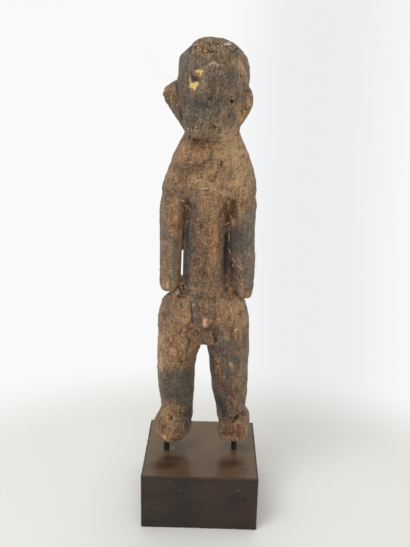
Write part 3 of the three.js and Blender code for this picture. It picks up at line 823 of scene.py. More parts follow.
    ("slate", 1.2, 0.4, (1.5, 318.2), (1.5, 315.2)),
    ("rust", 1, 0.95, (11.8, 312.6), (10.6, 307.6)),
    ("rust", 1, 0.95, (8.5, 304.4), (6.3, 299.7)),
    ("umber", 1.3, 0.5, (12.7, 307.6), (12.1, 299.8)),
    ("bark", 1.2, 0.7, (25.3, 322.6)),
    ("bark", 1.2, 0.7, (28.3, 316.6)),
    ("tan", 5.9, 0.5, (-10, 297), (-0.5, 296.5), (7.5, 303)),
    ("tan", 5, 0.4, (9, 295), (23.5, 292.5), (32.5, 292)),
    ("moss", 4.2, 0.35, (-8, 291), (3, 290)),
    ("ash", 5, 0.55, (17.5, 300), (19.5, 290)),
    ("slate", 2.2, 0.45, (11.5, 298), (12.5, 287)),
    ("gloom", 0.8, 0.6, (19.3, 289.4)),
    ("tan", 4.2, 0.6, (26.5, 301), (32, 294.5)),
    ("sand", 2.5, 0.6, (32.5, 308.5), (35, 289.5)),
    ("amber", 2, 0.45, (29, 290.5), (33.5, 286)),
    ("wheat", 3.4, 0.65, (11, 287), (19, 287), (31.5, 287)),
    ("umber", 3, 0.5, (6, 295), (8.5, 287)),
    ("plum", 4.5, 0.55, (-29.5, 294), (-24, 290.5), (-19.5, 292.5)),
    ("umber", 4.2, 0.4, (-21, 300), (-14.5, 297.5)),
    ("rosy", 0.8, 0.7, (-28.2, 290.6)),
    ("chalk", 0.7, 0.6, (-31.8, 292.5)),
    # The slate and plum along here are painted shade under the left shoulder's ledge.
    ("slate", 3.5, 0.55, (-25, 286), (-16, 286), (-10, 287)),
    ("plum", 2.5, 0.55, (-18, 282.5), (-7.5, 282.5)),
    ("umber", 3.4, 0.5, (-33.5, 287.5), (-30.5, 282)),
    ("ash", 1.7, 0.5, (-34.5, 290.5), (-35, 282.5)),
    ("honey", 5, 0.3, (-1, 323.5), (7, 320.5)),
    ("tan", 4.2, 0.5, (20, 294), (31.5, 293)),
    ("tan", 2.9, 0.3, (23.5, 287.5), (31.5, 287)),
    ("umber", 3.4, 0.45, (-6.5, 321), (-5.5, 313.5), (-5, 301.5)),
    ("rust", 3.4, 0.4, (-9, 321), (-7, 316.5)),
    ("umber", 3.4, 0.35, (7, 306), (7.5, 298)),
    ("tan", 2.5, 0.4, (1.5, 324.5), (7, 323)),
    ("umber", 3.4, 0.4, (-12, 313), (-13, 303.5)),
    ("sand", 4.2, 0.5, (1, 295), (9, 295), (22, 292.5)),
    ("tan", 2.5, 0.45, (5, 324.5), (8.5, 320.5)),
    ("tan", 2.5, 0.45, (-13.5, 310.5), (-8.5, 308)),
    ("ash", 3.4, 0.3, (33, 297.5), (34, 285)),
    ("wheat", 3.4, 0.45, (0.5, 295), (7.5, 295)),
    ("wheat", 3.4, 0.35, (6, 289.5), (12.5, 287)),
    ("tan", 3.4, 0.5, (26, 289.5), (29.5, 285.5)),
    ("ash", 2.5, 0.4, (18.5, 290), (23.5, 287)),
    ("rust", 1.1, 0.7, (-7.2, 330.4), (2, 330.2), (10.4, 331.8)),
    ("honey", 5, 0.4, (-5.5, 322.5), (7, 322.5)),
    ("tan", 3.4, 0.4, (-13, 294.5), (-3.5, 294.5)),
    ("wheat", 3.4, 0.35, (18.5, 295), (23.5, 295)),
    ("tan", 3.4, 0.4, (25, 288), (29, 288)),
    ("tan", 5, 0.45, (-2, 323.5), (8.5, 321.5)),
    ("honey", 4.2, 0.3, (-1, 324.5), (5.5, 322)),
    ("sand", 3, 0.45, (25, 288), (29, 287.5)),
    ("wheat", 2.5, 0.4, (20, 295), (25, 295)),
    ("wheat", 5, 0.5, (3.5, 324.5), (9, 320.5)),
    ("tan", 3.4, 0.4, (1.5, 310), (7, 307.5)),
    ("sand", 3.4, 0.4, (24.5, 288.5), (29, 287)),
    ("umber", 3.4, 0.35, (-1, 316), (4, 315)),
    ("bark", 1.1, 0.5, (-19.8, 309.6), (-13.3, 308.8), (-7, 309), (-1.5, 310.9), (2.8, 315.2), (4.2, 319.8)),
    ("honey", 4.2, 0.35, (-13.5, 320.5), (-5.5, 316.5), (-1, 319.5)),
    # Left armpit and the gap beside the left arm
    # Most dark strokes in this group are painted shade in the armpit and in the gap beside the arm.
    ("umber", 2.5, 0.6, (-18, 278), (-18, 267.5)),
    ("bark", 2.9, 0.75, (-13, 277.5), (-11, 271), (-11, 264.5)),
    ("bark", 1.7, 0.5, (-14.5, 278), (-15, 270)),
    ("soil", 2, 0.8, (-14, 275.5), (-13, 271.5)),
    ("straw", 0.8, 0.85, (-15, 275.1), (-14.6, 271.8)),
    ("ochre", 1.3, 0.6, (-20.2, 273.7), (-18.7, 268.7)),
    ("gloom", 3, 0.8, (-8.5, 279), (-8.5, 270.5)),
    ("plum", 2.9, 0.7, (-8.5, 270), (-9, 259.5)),
    ("grape", 3.2, 0.8, (-14.5, 266), (-13, 264), (-10.5, 266)),
    ("rust", 1.8, 0.5, (-18, 277), (-18.5, 269.5), (-17.5, 262.5)),
    ("shade", 2.5, 0.9, (-12.5, 260.5), (-12.5, 242), (-13, 221), (-13, 210.5)),
    ("sootAndShade", 2.1, 0.95, (-14.5, 258.5), (-14.5, 246.5), (-14.5, 238)),
    ("shade", 2.2, 0.95, (-14.5, 238), (-14.5, 227.5), (-15, 219), (-15, 210)),
    ("plum", 3.9, 0.9, (-9.5, 259.5), (-9, 247.5), (-8.5, 237.5)),
    ("grape", 3.4, 0.7, (-10, 259.5), (-9.5, 247.5), (-9.5, 237.5)),
    ("umber", 4.2, 0.45, (-3, 260), (-2.5, 240)),
    ("umber", 3.4, 0.4, (3, 250), (3, 241.5)),
    ("plum", 3.4, 0.8, (-8.5, 234), (-8, 210)),
    ("brick", 2.2, 0.3, (-10, 228.5), (-9.5, 211.5)),
    ("umber", 4.2, 0.4, (-3.5, 210.5), (9.5, 210)),
    ("plum", 2.5, 0.4, (2, 252), (2.5, 246.5)),
    ("umber", 4.2, 0.55, (-3.5, 253.5), (-3.5, 238)),
    ("umber", 4.2, 0.3, (-1.5, 238), (-2, 224.5)),
    ("plum", 3, 0.6, (-9.5, 212.5), (-2.5, 209.5)),
    ("tan", 3.7, 0.55, (-1.5, 279.5), (-0.5, 270.5)),
    ("umber", 3.4, 0.4, (2.5, 277), (0, 265.5)),
    ("plum", 2, 0.4, (2, 268.5), (-1.5, 262)),
    ("rosy", 1, 0.4, (-7.7, 254.7), (-2.8, 255.1)),
    ("sand", 2.5, 0.4, (-0.5, 252), (-1, 243.5)),
    ("plum", 2.2, 0.4, (1, 240), (1, 233)),
    # The honey and amber down the body's right side are a painted highlight.
    ("honey", 2.9, 0.7, (7, 258.5), (7.5, 244), (8, 229)),
    ("honey", 2.5, 0.5, (5.5, 273.5), (6.5, 263.5)),
    ("clay", 3, 0.6, (7.5, 227.5), (7, 214)),
    ("bark", 1.3, 0.35, (-7.3, 229.1), (-7.5, 220.4)),
    ("plum", 2.5, 0.4, (-2, 221), (1.5, 216)),
    ("rust", 1.5, 0.75, (11.1, 263.1), (11, 254.5), (11.6, 244)),
    ("umber", 2.2, 0.6, (10, 242.5), (11, 228.5), (10.5, 217)),
    ("plumRed", 5, 0.5, (-3.5, 260), (-3.5, 243)),
    ("plum", 5, 0.5, (-3.5, 240), (-3, 212)),
    ("plum", 3.4, 0.5, (-9.5, 269.5), (-9.5, 263)),
    ("plumRed", 4.2, 0.5, (0, 229.5), (1.5, 212.5)),
    ("plum", 2.5, 0.4, (5.5, 217.5), (5.5, 208.5)),
    ("rust", 1.2, 0.5, (-7.6, 251.3), (-5.6, 229.3)),
    ("amber", 2.5, 0.4, (6.5, 255), (8, 234.5)),
    ("rust", 1.7, 0.6, (-17, 275), (-17.5, 268)),
    ("umber", 2.2, 0.6, (-17, 275), (-16, 266.5)),
    ("grape", 2.5, 0.45, (-10.5, 257.5), (-10.5, 232)),
    ("umber", 3.4, 0.4, (-5, 281), (-4.5, 271)),
    ("sootAndShade", 1.7, 0.7, (-15.5, 229), (-15.5, 208.5)),
    ("plumRed", 2.5, 0.6, (-17.5, 278.5), (-17, 268)),
    ("grape", 2.5, 0.5, (-11, 256), (-11, 239)),
    ("rust", 2, 0.4, (-10, 228.5), (-9, 213.5)),
    ("plum", 3.4, 0.4, (-10.5, 213), (-2, 209.5)),
    ("umber", 3.4, 0.35, (8, 213.5), (12.5, 208)),
    ("amber", 2.5, 0.35, (-18, 278), (-18, 269.5)),
    ("plum", 2.5, 0.45, (-11, 257.5), (-11, 240.5)),
    ("plum", 2.5, 0.45, (-12, 210), (-8.5, 211)),
    ("ochre", 2.2, 0.4, (-18.5, 278), (-18, 268.5)),
    ("shade", 2, 0.6, (-12, 257.5), (-12, 238.5)),
    ("shade", 2.2, 0.6, (-11.5, 257.5), (-11.5, 237)),
    ("ochre", 2, 0.35, (-18.5, 279), (-18, 268.5)),
    # Right armpit and groove
    # Soot down the groove is dirt and painted shade; the other dark strokes are painted shade in the armpit
    # and on the arm's inner face.
    ("umber", 2.5, 0.5, (12, 283.5), (16, 281.5)),
    ("rust", 2.5, 0.5, (20, 278.5), (25, 277)),
    ("soil", 1.8, 0.9, (13, 273), (12, 270)),
    ("soil", 1, 0.8, (11.5, 267.3)),
    ("grape", 3.4, 0.6, (22, 272.5), (23.5, 267.5)),
    ("rust", 2, 0.5, (20, 276), (19.5, 268.5)),
    ("umber", 2.9, 0.6, (14, 263.5), (15, 257)),
    ("rust", 2, 0.5, (15, 276.5), (15, 262.5)),
    ("bark", 1.7, 0.6, (14.5, 270.5), (20, 265)),
    ("soil", 2, 0.9, (16.5, 262.5), (20, 260.5)),
    ("grape", 2.2, 0.6, (17, 255), (17.5, 250)),
    ("sootAndShade", 2.4, 0.98, (17.5, 247.5), (17.5, 237), (17.5, 226), (17, 217.5)),
    ("umber", 1.3, 0.5, (13.4, 255.7), (13.8, 243.4)),
    ("grape", 2.4, 0.9, (15.5, 215), (16.5, 209.5)),
    ("ash", 1, 0.5, (19.8, 252.7), (20.2, 245.7)),
    ("straw", 0.7, 0.5, (20.3, 238.7), (21.3, 234.3)),
    ("sootAndShade", 2.4, 0.85, (19.5, 248.5), (20, 235), (20, 219.5)),
    ("grape", 2.2, 0.8, (20.5, 221.5), (20.5, 208)),
    ("shade", 4.7, 0.9, (25, 254.5), (25.5, 244.5), (26, 236.5)),
    ("shade", 3.4, 0.5, (29, 272.5), (30, 248.5), (30.5, 229.5)),
    ("plum", 3.7, 0.6, (31, 260.5), (31.5, 248.5), (33, 236.5)),
    ("plum", 3.9, 0.75, (26, 228.5), (26, 218), (27.5, 209.5)),
    ("rosy", 1, 0.5, (24.3, 226.2), (28.4, 225.5)),
    ("umber", 2.5, 0.7, (22, 219.5), (23.5, 207.5)),
    ("sootAndShade", 2.5, 0.85, (17, 250.5), (16.5, 240), (16, 224.5)),
    ("umber", 3.4, 0.6, (18.5, 271.5), (21.5, 265.5)),
    ("rust", 2, 0.6, (14.5, 266), (15.5, 256.5)),
    ("shade", 4.2, 0.7, (27.5, 258), (28.5, 250), (28.5, 242.5)),
    ("gloom", 3.4, 0.6, (31, 250.5), (31.5, 238)),
    ("plum", 4.5, 0.75, (25.5, 232), (26.5, 209)),
    ("grape", 3.4, 0.6, (23, 234), (23.5, 211)),
    ("rosyDim", 0.8, 0.7, (23.2, 234.4), (26.8, 225.3), (28.8, 213.2)),
    ("mauve", 0.8, 0.6, (21.3, 235.2), (24.2, 228)),
    ("umber", 2.5, 0.4, (20.5, 261.5), (23, 259)),
    ("mauve", 2.5, 0.35, (27.5, 264.5), (29.5, 259.5)),
    ("plumRed", 2.5, 0.6, (15, 278), (21, 276)),
    ("umber", 2.5, 0.6, (14.5, 271), (21.5, 267)),
    ("plumRed", 2.2, 0.4, (15.5, 263), (17, 256)),
    ("tan", 3.4, 0.3, (16, 279), (19.5, 270.5), (17.5, 264)),
    ("ochre", 3.4, 0.35, (16, 279), (20.5, 270.5), (17.5, 263)),
    ("rust", 2.9, 0.35, (16, 278), (19.5, 269.5), (16.5, 262.5)),
    ("tan", 2.5, 0.35, (20, 278), (22.5, 273.5)),
    ("plum", 2.5, 0.4, (18, 208.5), (23.5, 208.5)),
    ("clay", 2, 0.4, (-19, 264.5), (-19, 260)),
    ("amber", 4.2, 0.4, (16, 276.5), (21, 270.5), (18.5, 261)),
    ("rust", 2.5, 0.4, (20, 278), (24, 272.5)),
    # Right arm
    ("tan", 2.5, 0.4, (28, 275), (30, 267.5)),
    ("moss", 1.7, 0.4, (31, 277.5), (32.5, 267.5)),
    ("slate", 2, 0.6, (31.5, 271), (31.5, 264)),
    ("slate", 2.5, 0.55, (37, 276.5), (38, 269.5)),
    # The ash and lichen down the arm's outer edge are grey-green patina and a painted reflection of the pale
    # surround.
    ("ash", 2, 0.6, (37, 276.5), (38.5, 239)),
    ("slate", 2.2, 0.5, (34.5, 258.5), (35, 240)),
    ("lichen", 2.5, 0.8, (37, 251.5), (38.5, 207.5)),
    ("slate", 1.7, 0.4, (36.5, 229), (37, 213.5)),
    ("shade", 2, 0.4, (32, 233), (33.5, 220.5)),
    ("ash", 1.7, 0.4, (33.5, 240), (35.5, 234.5)),
    ("ash", 1.7, 0.4, (29.5, 224), (31, 215.5)),
    ("clay", 1.7, 0.55, (30, 213.5), (32, 208)),
    ("rosyDim", 2.4, 0.8, (31.5, 202.5), (33, 197.5)),
    ("bark", 1.1, 0.85, (25.2, 200.6), (28.7, 196.4)),
    ("slate", 1.7, 0.5, (36.5, 204.5), (38, 211.5)),
    ("plum", 3.4, 0.6, (24, 207.5), (27, 203)),
    ("lichen", 3.7, 0.65, (33.5, 270.5), (35, 248.5), (36.5, 211.5)),
    ("slate", 2.9, 0.6, (33.5, 257), (34.5, 243.5)),
    ("umber", 2.9, 0.3, (29.5, 280), (30.5, 275)),
    ("slate", 2.5, 0.4, (32.5, 229.5), (33, 210)),
    # Left arm
    ("clay", 6.7, 0.5, (-29, 276.5), (-28, 260)),
    ("honey", 2.7, 0.5, (-23.5, 265), (-22.5, 258.5)),
    # The ash here and the lichen further on, down the arm's outer edge, are grey-green patina and a painted
    # reflection of the pale surround.
    ("ash", 1.5, 0.5, (-35.7, 269.6), (-35.7, 254.4)),
    ("rosy", 2.4, 0.45, (-29.5, 257.5), (-27.5, 255)),
    ("slate", 2.2, 0.45, (-27, 270), (-26.5, 266)),
    ("chalk", 1, 0.7, (-27.3, 251.7)),
    ("slate", 2.9, 0.7, (-35, 252), (-31.5, 249.5), (-26.5, 248.5)),
    ("mauve", 2.2, 0.9, (-32, 245), (-32, 231)),
    ("moss", 2.5, 0.65, (-29, 238.5), (-28, 220.5)),
    ("chalk", 0.8, 0.4, (-30.2, 244.3)),
    ("slate", 1.8, 0.6, (-25, 227.5), (-25, 219.5)),
    ("umber", 2.5, 0.5, (-24, 245), (-22.5, 237.5)),
    ("rust", 1.5, 0.6, (-22.5, 235.8), (-23.2, 225.4)),
    ("rust", 1.3, 0.6, (-19.2, 257.3), (-19.3, 246.3), (-20.2, 239.1)),
    ("tan", 1.2, 0.5, (-21, 256.5), (-21, 245.9)),
    ("clay", 2.5, 0.5, (-32, 227.5), (-33, 211.5)),
    ("tan", 1.7, 0.5, (-24, 234.5), (-23.5, 222), (-24, 213.5)),
    ("ash", 1.8, 0.5, (-28, 216.5), (-29, 208.5)),
    ("clay", 1.7, 0.5, (-23, 218.5), (-22.5, 209.5)),
    ("mauve", 2, 0.7, (-33, 207)),
    ("fresh", 0.8, 1, (-30.8, 209.5)),
    ("lichen", 1.5, 0.6, (-36.4, 274.8), (-36.2, 209)),
    ("bark", 0.8, 0.85, (-23.9, 202.6)),
    ("umber", 2, 0.5, (-24, 208), (-20.5, 204)),
    ("umber", 2.5, 0.45, (-24, 211.5), (-22, 201)),
    ("lichen", 2.7, 0.6, (-26, 247), (-26, 227.5), (-27, 212)),
    ("slate", 1.8, 0.35, (-24.5, 245), (-24.5, 224)),
    ("umber", 3.4, 0.45, (-33, 250), (-27.5, 247)),
    ("rust", 2.2, 0.6, (-22, 269), (-21.5, 255), (-22, 241)),
    ("tan", 1, 0.6, (-20.5, 252.8), (-20.6, 225.8)),
    ("plum", 2.5, 0.4, (-32, 227.5), (-32, 211.5)),
    ("umber", 2.5, 0.5, (-24, 220.5), (-22.5, 207.5)),
    ("clay", 2.5, 0.6, (-32, 212.5), (-31.5, 205.5)),
    ("clay", 2.5, 0.6, (-32.5, 213.5), (-32, 205)),
    ("clay", 2.5, 0.3, (-24, 246.5), (-23, 230.5)),
    ("honey", 3.4, 0.4, (-24, 266.5), (-24, 261.5)),
    ("clay", 2.5, 0.4, (-31, 212), (-30.5, 205.5)),
    ("honey", 2.5, 0.4, (-24.5, 266.5), (-24, 260.5)),
    ("fresh", 1.2, 0.95, (-31.3, 210.4), (-31, 207.7), (-30.7, 204.8)),
    ("bark", 0.8, 0.7, (-29.1, 209.6), (-28.8, 204.9)),
    ("fresh", 0.8, 0.6, (-34.3, 207.3), (-33.8, 205)),
    # Hips
    ("ochre", 2.9, 0.8, (-30.5, 196), (-26.5, 196.5)),
    ("sand", 1.5, 0.6, (-27.4, 199.1)),
    ("soil", 2.2, 0.9, (-24, 202.5), (-19.5, 204), (-15.5, 205.5)),
    ("soil", 1.4, 0.85, (-19.5, 199.3), (-21.9, 196.5)),
    ("chalk", 0.9, 0.7, (-22.1, 200.4)),
    ("rosy", 1.7, 0.6, (-23.5, 201.5)),
    ("plum", 3.2, 0.6, (-31.5, 189.5), (-28, 192.5), (-24.5, 192.5)),
    ("mauve", 4.2, 0.45, (-28.5, 183.5), (-26.5, 179.5), (-33, 172.5)),
    ("plum", 2.9, 0.5, (-14.5, 202), (-9.5, 201.5)),
    ("tan", 3.7, 0.8, (-16.5, 186), (-14, 182.5), (-14.5, 179)),
    ("sand", 2.5, 0.4, (-20, 192.5), (-15, 195)),
    ("moss", 2.5, 0.35, (-23.5, 182), (-24, 172.5)),
    ("brick", 2, 0.75, (-12, 176.5), (-13.5, 172), (-11.5, 169)),
    # The soot and bark lines in the left groin crease, and the soot of the crotch folds further on, are
    # painted shade in the creases.
    ("sootAndShade", 0.8, 1, (-11.6, 170)),
    ("bark", 0.8, 0.95, (-11.3, 195.8), (-10.5, 188.1)),
    ("bark", 0.8, 0.9, (-10.3, 188.1), (-9.9, 181.1), (-9.1, 176.6)),
    ("amber", 0.8, 0.6, (-11.1, 186.3), (-10.7, 180.1)),
    ("slate", 3.2, 0.95, (-6.5, 199), (-6.5, 190.5), (-5.5, 183), (-4.5, 179)),
    ("gloom", 2.7, 0.5, (-6.5, 195.5), (-6, 181)),
    ("slate", 2, 0.7, (0, 202), (-4, 200)),
    ("chalk", 1.1, 0.75, (-8.7, 192.6)),
    ("umber", 4.7, 0.75, (2.5, 193.5), (3, 187.5), (5.5, 184.5)),
    ("rosy", 2, 0.55, (2, 192.5)),
    ("rosy", 1.2, 0.35, (4.4, 189.6)),
    ("moss", 2.9, 0.4, (7, 194), (8.5, 189)),
    ("umber", 2.9, 0.55, (8.5, 196.5)),
    ("rosyDim", 1.7, 0.55, (12, 195)),
    ("brick", 1.4, 0.75, (2, 186.5)),
    ("moss", 1.8, 0.5, (8, 186.5), (7, 180.5)),
    ("amber", 1.3, 0.75, (6, 179.6), (7.2, 177.7)),
    ("bark", 1.3, 0.85, (-1.9, 174.6), (2.3, 173.1), (6.4, 173.5)),
    ("umber", 2.7, 0.6, (0, 170.5)),
    ("honey", 0.9, 0.85, (-8.4, 175.7), (-6.2, 172.7), (-3.9, 172.5)),
    ("rust", 2.2, 0.85, (-9, 171), (-8.5, 166.5)),
    ("amber", 1, 0.6, (-7.8, 169.3)),
    ("grape", 1.8, 0.85, (-1.5, 163.5), (-0.5, 159)),
    ("ochre", 0.8, 0.75, (2.8, 162.3), (5, 165.1)),
    ("sand", 1.1, 0.6, (6.2, 170.1), (5.8, 166.2)),
    ("tan", 1.7, 0.85, (7, 160), (7.5, 156)),
    ("grape", 2.9, 0.85, (10, 172.5), (11.5, 167), (12, 160.5)),
    ("plum", 2.5, 0.5, (12, 179), (13, 173.5)),
    ("bark", 1.3, 0.75, (-11.1, 161.5), (-12.7, 156.1), (-13.2, 149.5)),
    ("amber", 1.5, 0.75, (-8.1, 158.9), (-8.8, 150.2)),
    ("umber", 1.7, 0.7, (-14.5, 167), (-16, 161)),
    ("sootAndShade", 0.9, 0.95, (-4.9, 146.8)),
    ("sootAndShade", 1.1, 0.95, (-0.1, 157.6), (3, 158.2)),
    ("bark", 1, 0.9, (3.7, 150.6), (5.3, 143.9)),
    ("plumRed", 3, 0.55, (15.5, 209.5), (20, 208), (18.5, 202.5), (20, 199.5)),
    ("tan", 2.5, 0.4, (23.5, 202.5), (28.5, 193.5)),
    ("clay", 2.5, 0.6, (8, 206), (12.5, 203.5)),
    ("umber", 0.8, 0.6, (-11.9, 204.1), (-3.5, 204.4), (2.4, 202.8)),
    ("bark", 1.1, 0.6, (1.6, 200.3)),
    ("rosyDim", 1.7, 0.5, (5, 203), (9, 202.5)),
    ("clay", 4.2, 0.5, (15, 199.5), (25, 195.5)),
    ("tan", 4.2, 0.45, (18.5, 192.5), (24, 186)),
    ("plum", 3, 0.4, (-32.5, 191.5), (-31, 183)),
    ("plum", 3, 0.45, (-4, 188), (-3, 160.5)),
    ("grape", 2.5, 0.6, (5, 164), (7, 153)),
    ("plum", 3.4, 0.4, (-31.5, 194), (-30, 183)),
    ("umber", 3.4, 0.4, (-16.5, 189.5), (-16.5, 184)),
    ("umber", 3.7, 0.45, (-4, 191), (-2.5, 160.5)),
    ("umber", 1.2, 0.8, (-9.6, 176.6), (-3.6, 167), (2.4, 167.1), (7.3, 174.4)),
    ("grape", 2.5, 0.5, (10, 167), (11, 153.5)),
    ("umber", 3.4, 0.5, (17.5, 167.5), (19.5, 162)),
    ("umber", 3.4, 0.4, (-17, 196.5), (-15, 191)),
    ("umber", 3.4, 0.45, (-3, 192.5), (-2.5, 173)),
    ("umber", 3.4, 0.4, (15, 198), (18.5, 191.5)),
    ("plum", 2.5, 0.5, (14, 169), (16, 158)),
    ("umber", 4.2, 0.4, (-4, 192.5), (-3, 180)),
    ("umber", 3.4, 0.4, (-3.5, 169), (-2, 160.5)),
    ("umber", 2.5, 0.45, (-25.5, 197), (-19, 193)),
    ("umber", 3.4, 0.35, (-3.5, 197), (5, 194)),
    ("umber", 2.5, 0.4, (-3.5, 183), (-2.5, 162.5)),
    ("umber", 3.4, 0.4, (-4.5, 164.5), (-1, 161.5)),
    ("brick", 1.8, 0.7, (-12, 176), (-13.5, 172), (-11.5, 169)),
    ("amber", 1.1, 0.6, (-9.9, 175.6), (-8.7, 169.3)),
    ("fresh", 1.6, 0.95, (2, 181.2), (1.7, 177.8)),
    ("fresh", 0.8, 0.8, (4.3, 179.9)),
    ("gloom", 2.5, 0.35, (-3.5, 191), (-3, 183)),
    ("fresh", 1.4, 0.95, (1.5, 181.3), (1.2, 177.8)),
    ("amber", 1, 0.85, (4, 181.1), (3.7, 177.3)),
    ("rust", 0.4, 0.8, (2.8, 181.9), (2.6, 177.9)),
    ("gloom", 2.5, 0.35, (-3.5, 186.5), (-3, 180.5)),
    ("umber", 2.5, 0.35, (-3.5, 166.5), (-1, 160.5)),
    # Right hip
    ("tan", 5, 0.6, (27, 189), (30.5, 182), (32, 174.5)),
    ("amber", 2.2, 0.4, (15.5, 187.5), (17, 183)),
    ("chalk", 1.2, 0.6, (18.5, 165.2), (21.1, 163.4)),
    ("sand", 2.2, 0.6, (17.5, 164.5), (22, 163), (25.5, 164.5)),
    ("chalk", 0.9, 0.55, (26, 169.9), (28, 171)),
    ("bark", 1, 0.75, (25.4, 172.1), (23.5, 167.3), (23.9, 163.8)),
    ("bark", 1, 0.6, (16.1, 170.6), (15.4, 164.5)),
    ("umber", 2.9, 0.5, (19, 176), (20, 170)),
    ("ash", 2.4, 0.5, (33, 168.5), (34.5, 172)),
    ("moss", 2.4, 0.6, (34, 163), (35, 154)),
    ("umber", 1.7, 0.5, (31.5, 165.5), (29.5, 162.5)),
    ("rust", 1.7, 0.4, (11, 185), (12, 180)),
    ("umber", 3.4, 0.4, (22.5, 165.5), (29.5, 161.5)),
    ("slate", 2.5, 0.4, (16, 166.5), (22, 161)),
    ("tan", 3.4, 0.45, (30.5, 190), (32.5, 176.5)),
    ("tan", 2.5, 0.35, (-9.5, 174), (-8, 170)),
    # Left thigh
    ("sand", 4.7, 0.4, (-30, 167.5), (-23, 165.5), (-17, 169)),
    ("ochre", 3.4, 0.4, (-21, 155.5), (-21, 142.5)),
    ("rust", 1.5, 0.65, (-31.7, 163.6), (-30.7, 155)),
    ("rust", 1.5, 0.7, (-30.2, 153.4), (-29.2, 147.2)),
    ("clay", 2.5, 0.5, (-26.5, 160.5), (-26, 142.5)),
    ("chalk", 0.8, 0.75, (-25.6, 139.3)),
    ("chalk", 0.8, 0.6, (-28.8, 138.7)),
    ("plumRed", 3.9, 0.8, (-12, 144), (-10.5, 134.5)),
    ("rust", 2.5, 0.5, (-9.5, 150.5), (-8.5, 145.5)),
    ("umber", 2.2, 0.45, (-17.5, 150), (-18.5, 140.5)),
    # The sand here and the wheat below, down the thigh's outer edge, are a painted highlight along the rim.
    ("sand", 2.2, 0.75, (-36.5, 175), (-36.5, 152.5), (-36, 133.5)),
    ("tan", 5, 0.4, (-28, 162), (-18, 160)),
    ("sand", 3.4, 0.35, (-30.5, 154), (-23, 152)),
    ("tan", 3.7, 0.5, (-31.5, 153), (-27, 149.5)),
    ("wheat", 2.4, 0.7, (-36.5, 162.5), (-36.5, 146), (-36.5, 130)),
    # Left shin
    ("slate", 5.4, 0.97, (-28.5, 127), (-13.5, 128)),
    ("slate", 5.9, 0.97, (-29, 117.5), (-13.5, 117.5)),
    ("slate", 5.9, 0.97, (-28, 107), (-14, 106)),
    ("gloom", 5, 0.5, (-17.5, 127), (-16, 110)),
    ("moss", 1.6, 0.85, (-36.1, 126.9), (-36.2, 111.4), (-35.1, 98.5)),
    ("ash", 1.2, 0.5, (-27.9, 117.9), (-22.6, 116.7), (-18.3, 117.9)),
    ("ash", 1, 0.35, (-27.9, 113.1), (-21.8, 112.1), (-16.6, 113.4)),
    ("slate", 3.4, 0.95, (-21, 100), (-11.5, 97.5)),
    ("gloom", 2.9, 0.95, (-11.5, 91.5), (-12, 77)),
    ("slate", 2.5, 0.6, (-14, 90.5), (-15.5, 86.5)),
    ("gloom", 2.9, 0.5, (-11, 128.5), (-10.5, 99)),
    ("gloom", 4.2, 0.3, (-24.5, 123.5), (-22.5, 106.5)),
    ("slate", 3.4, 0.5, (-28, 101.5), (-22.5, 101)),
    ("slate", 2.5, 0.4, (-14, 118), (-12.5, 100)),
    ("gloom", 10.1, 0.3, (-21, 129.5), (-21, 106.5)),
    ("umber", 4.2, 0.45, (-30, 101.5), (-22, 100)),
    ("slate", 10.1, 0.45, (-21, 127.5), (-21, 106.5)),
    ("gloom", 4.2, 0.5, (-31.5, 122), (-31.5, 105)),
    ("gloom", 3.4, 0.4, (-15.5, 97), (-13, 88)),
    # Ankle and left foot
    ("umber", 2.5, 0.5, (-30, 99), (-22, 99)),
    ("clay", 2.2, 0.7, (-32.5, 93.5), (-26, 96), (-22, 94.5)),
    ("amber", 7.6, 0.6, (-34, 86), (-31, 76)),
    ("crumbs", 5.9, 0.5, (-32, 85.5), (-30, 78)),
    ("tan", 2.5, 0.5, (-34, 89), (-29.5, 92)),
    ("amber", 3.4, 0.6, (-38.5, 79), (-36.5, 73.5)),
    ("honey", 2.5, 0.5, (-31, 84.5), (-29, 80)),
    ("bark", 0.7, 0.7, (-28.7, 89.9), (-27.3, 88.1)),
    ("bark", 0.8, 0.7, (-35, 80.3), (-30.9, 79.1), (-33.6, 75.6)),
    ("bark", 0.8, 0.6, (-30.9, 76.6), (-27.3, 76)),
    ("chalk", 0.6, 0.5, (-24.2, 87.9), (-23.7, 85.4)),
    ("rosy", 2, 0.6, (-20.5, 85.5), (-19.5, 82)),
    ("umber", 2.5, 0.7, (-18.5, 92.5), (-17.5, 86)),
    ("slate", 2.5, 0.5, (-16.5, 84.5), (-15, 74.5)),
    ("ash", 2, 0.5, (-24.5, 82), (-26.5, 78.5)),
    ("ochre", 0.8, 0.6, (-25.6, 80.9)),
    ("moss", 1.3, 0.6, (-23.1, 81.5), (-24.7, 76.6)),
    ("umber", 3.4, 0.85, (-20.5, 76), (-15, 74.5), (-18.5, 69)),
    ("slate", 1.7, 0.7, (-24, 72.5)),
    ("bark", 1.2, 0.8, (-25, 68), (-21.2, 66.1)),
    ("honey", 1.8, 0.6, (-31.5, 74.5), (-29, 72.5)),
    ("bare", 0.8, 1, (-32.1, 69.8), (-31.8, 66.5)),
    ("chalk", 0.8, 0.9, (-31.6, 68.9)),
    ("chalk", 0.6, 0.8, (-29.2, 67.5)),
    ("fresh", 1.3, 0.85, (-29, 64.7)),
    ("bark", 0.8, 0.8, (-36.5, 66.2)),
    ("umber", 3.4, 0.5, (-22.5, 91.5), (-20.5, 84)),
    ("umber", 3.4, 0.4, (-30, 94.5), (-22.5, 91.5)),
    ("umber", 4.2, 0.4, (-20.5, 81), (-17, 75)),
    ("gloom", 2.5, 0.5, (-14, 86), (-13.5, 73.5)),
    # Right leg
    ("shade", 5, 0.4, (14.5, 159), (25, 153)),
    ("slate", 4.2, 0.8, (16, 157.5), (23, 158.5), (30, 155)),
    ("slate", 5.9, 0.8, (16.5, 151), (25, 147.5)),
    ("slate", 3.9, 0.75, (28.5, 146), (29, 135)),
    ("slate", 4.2, 0.7, (20, 138), (24, 130.5)),
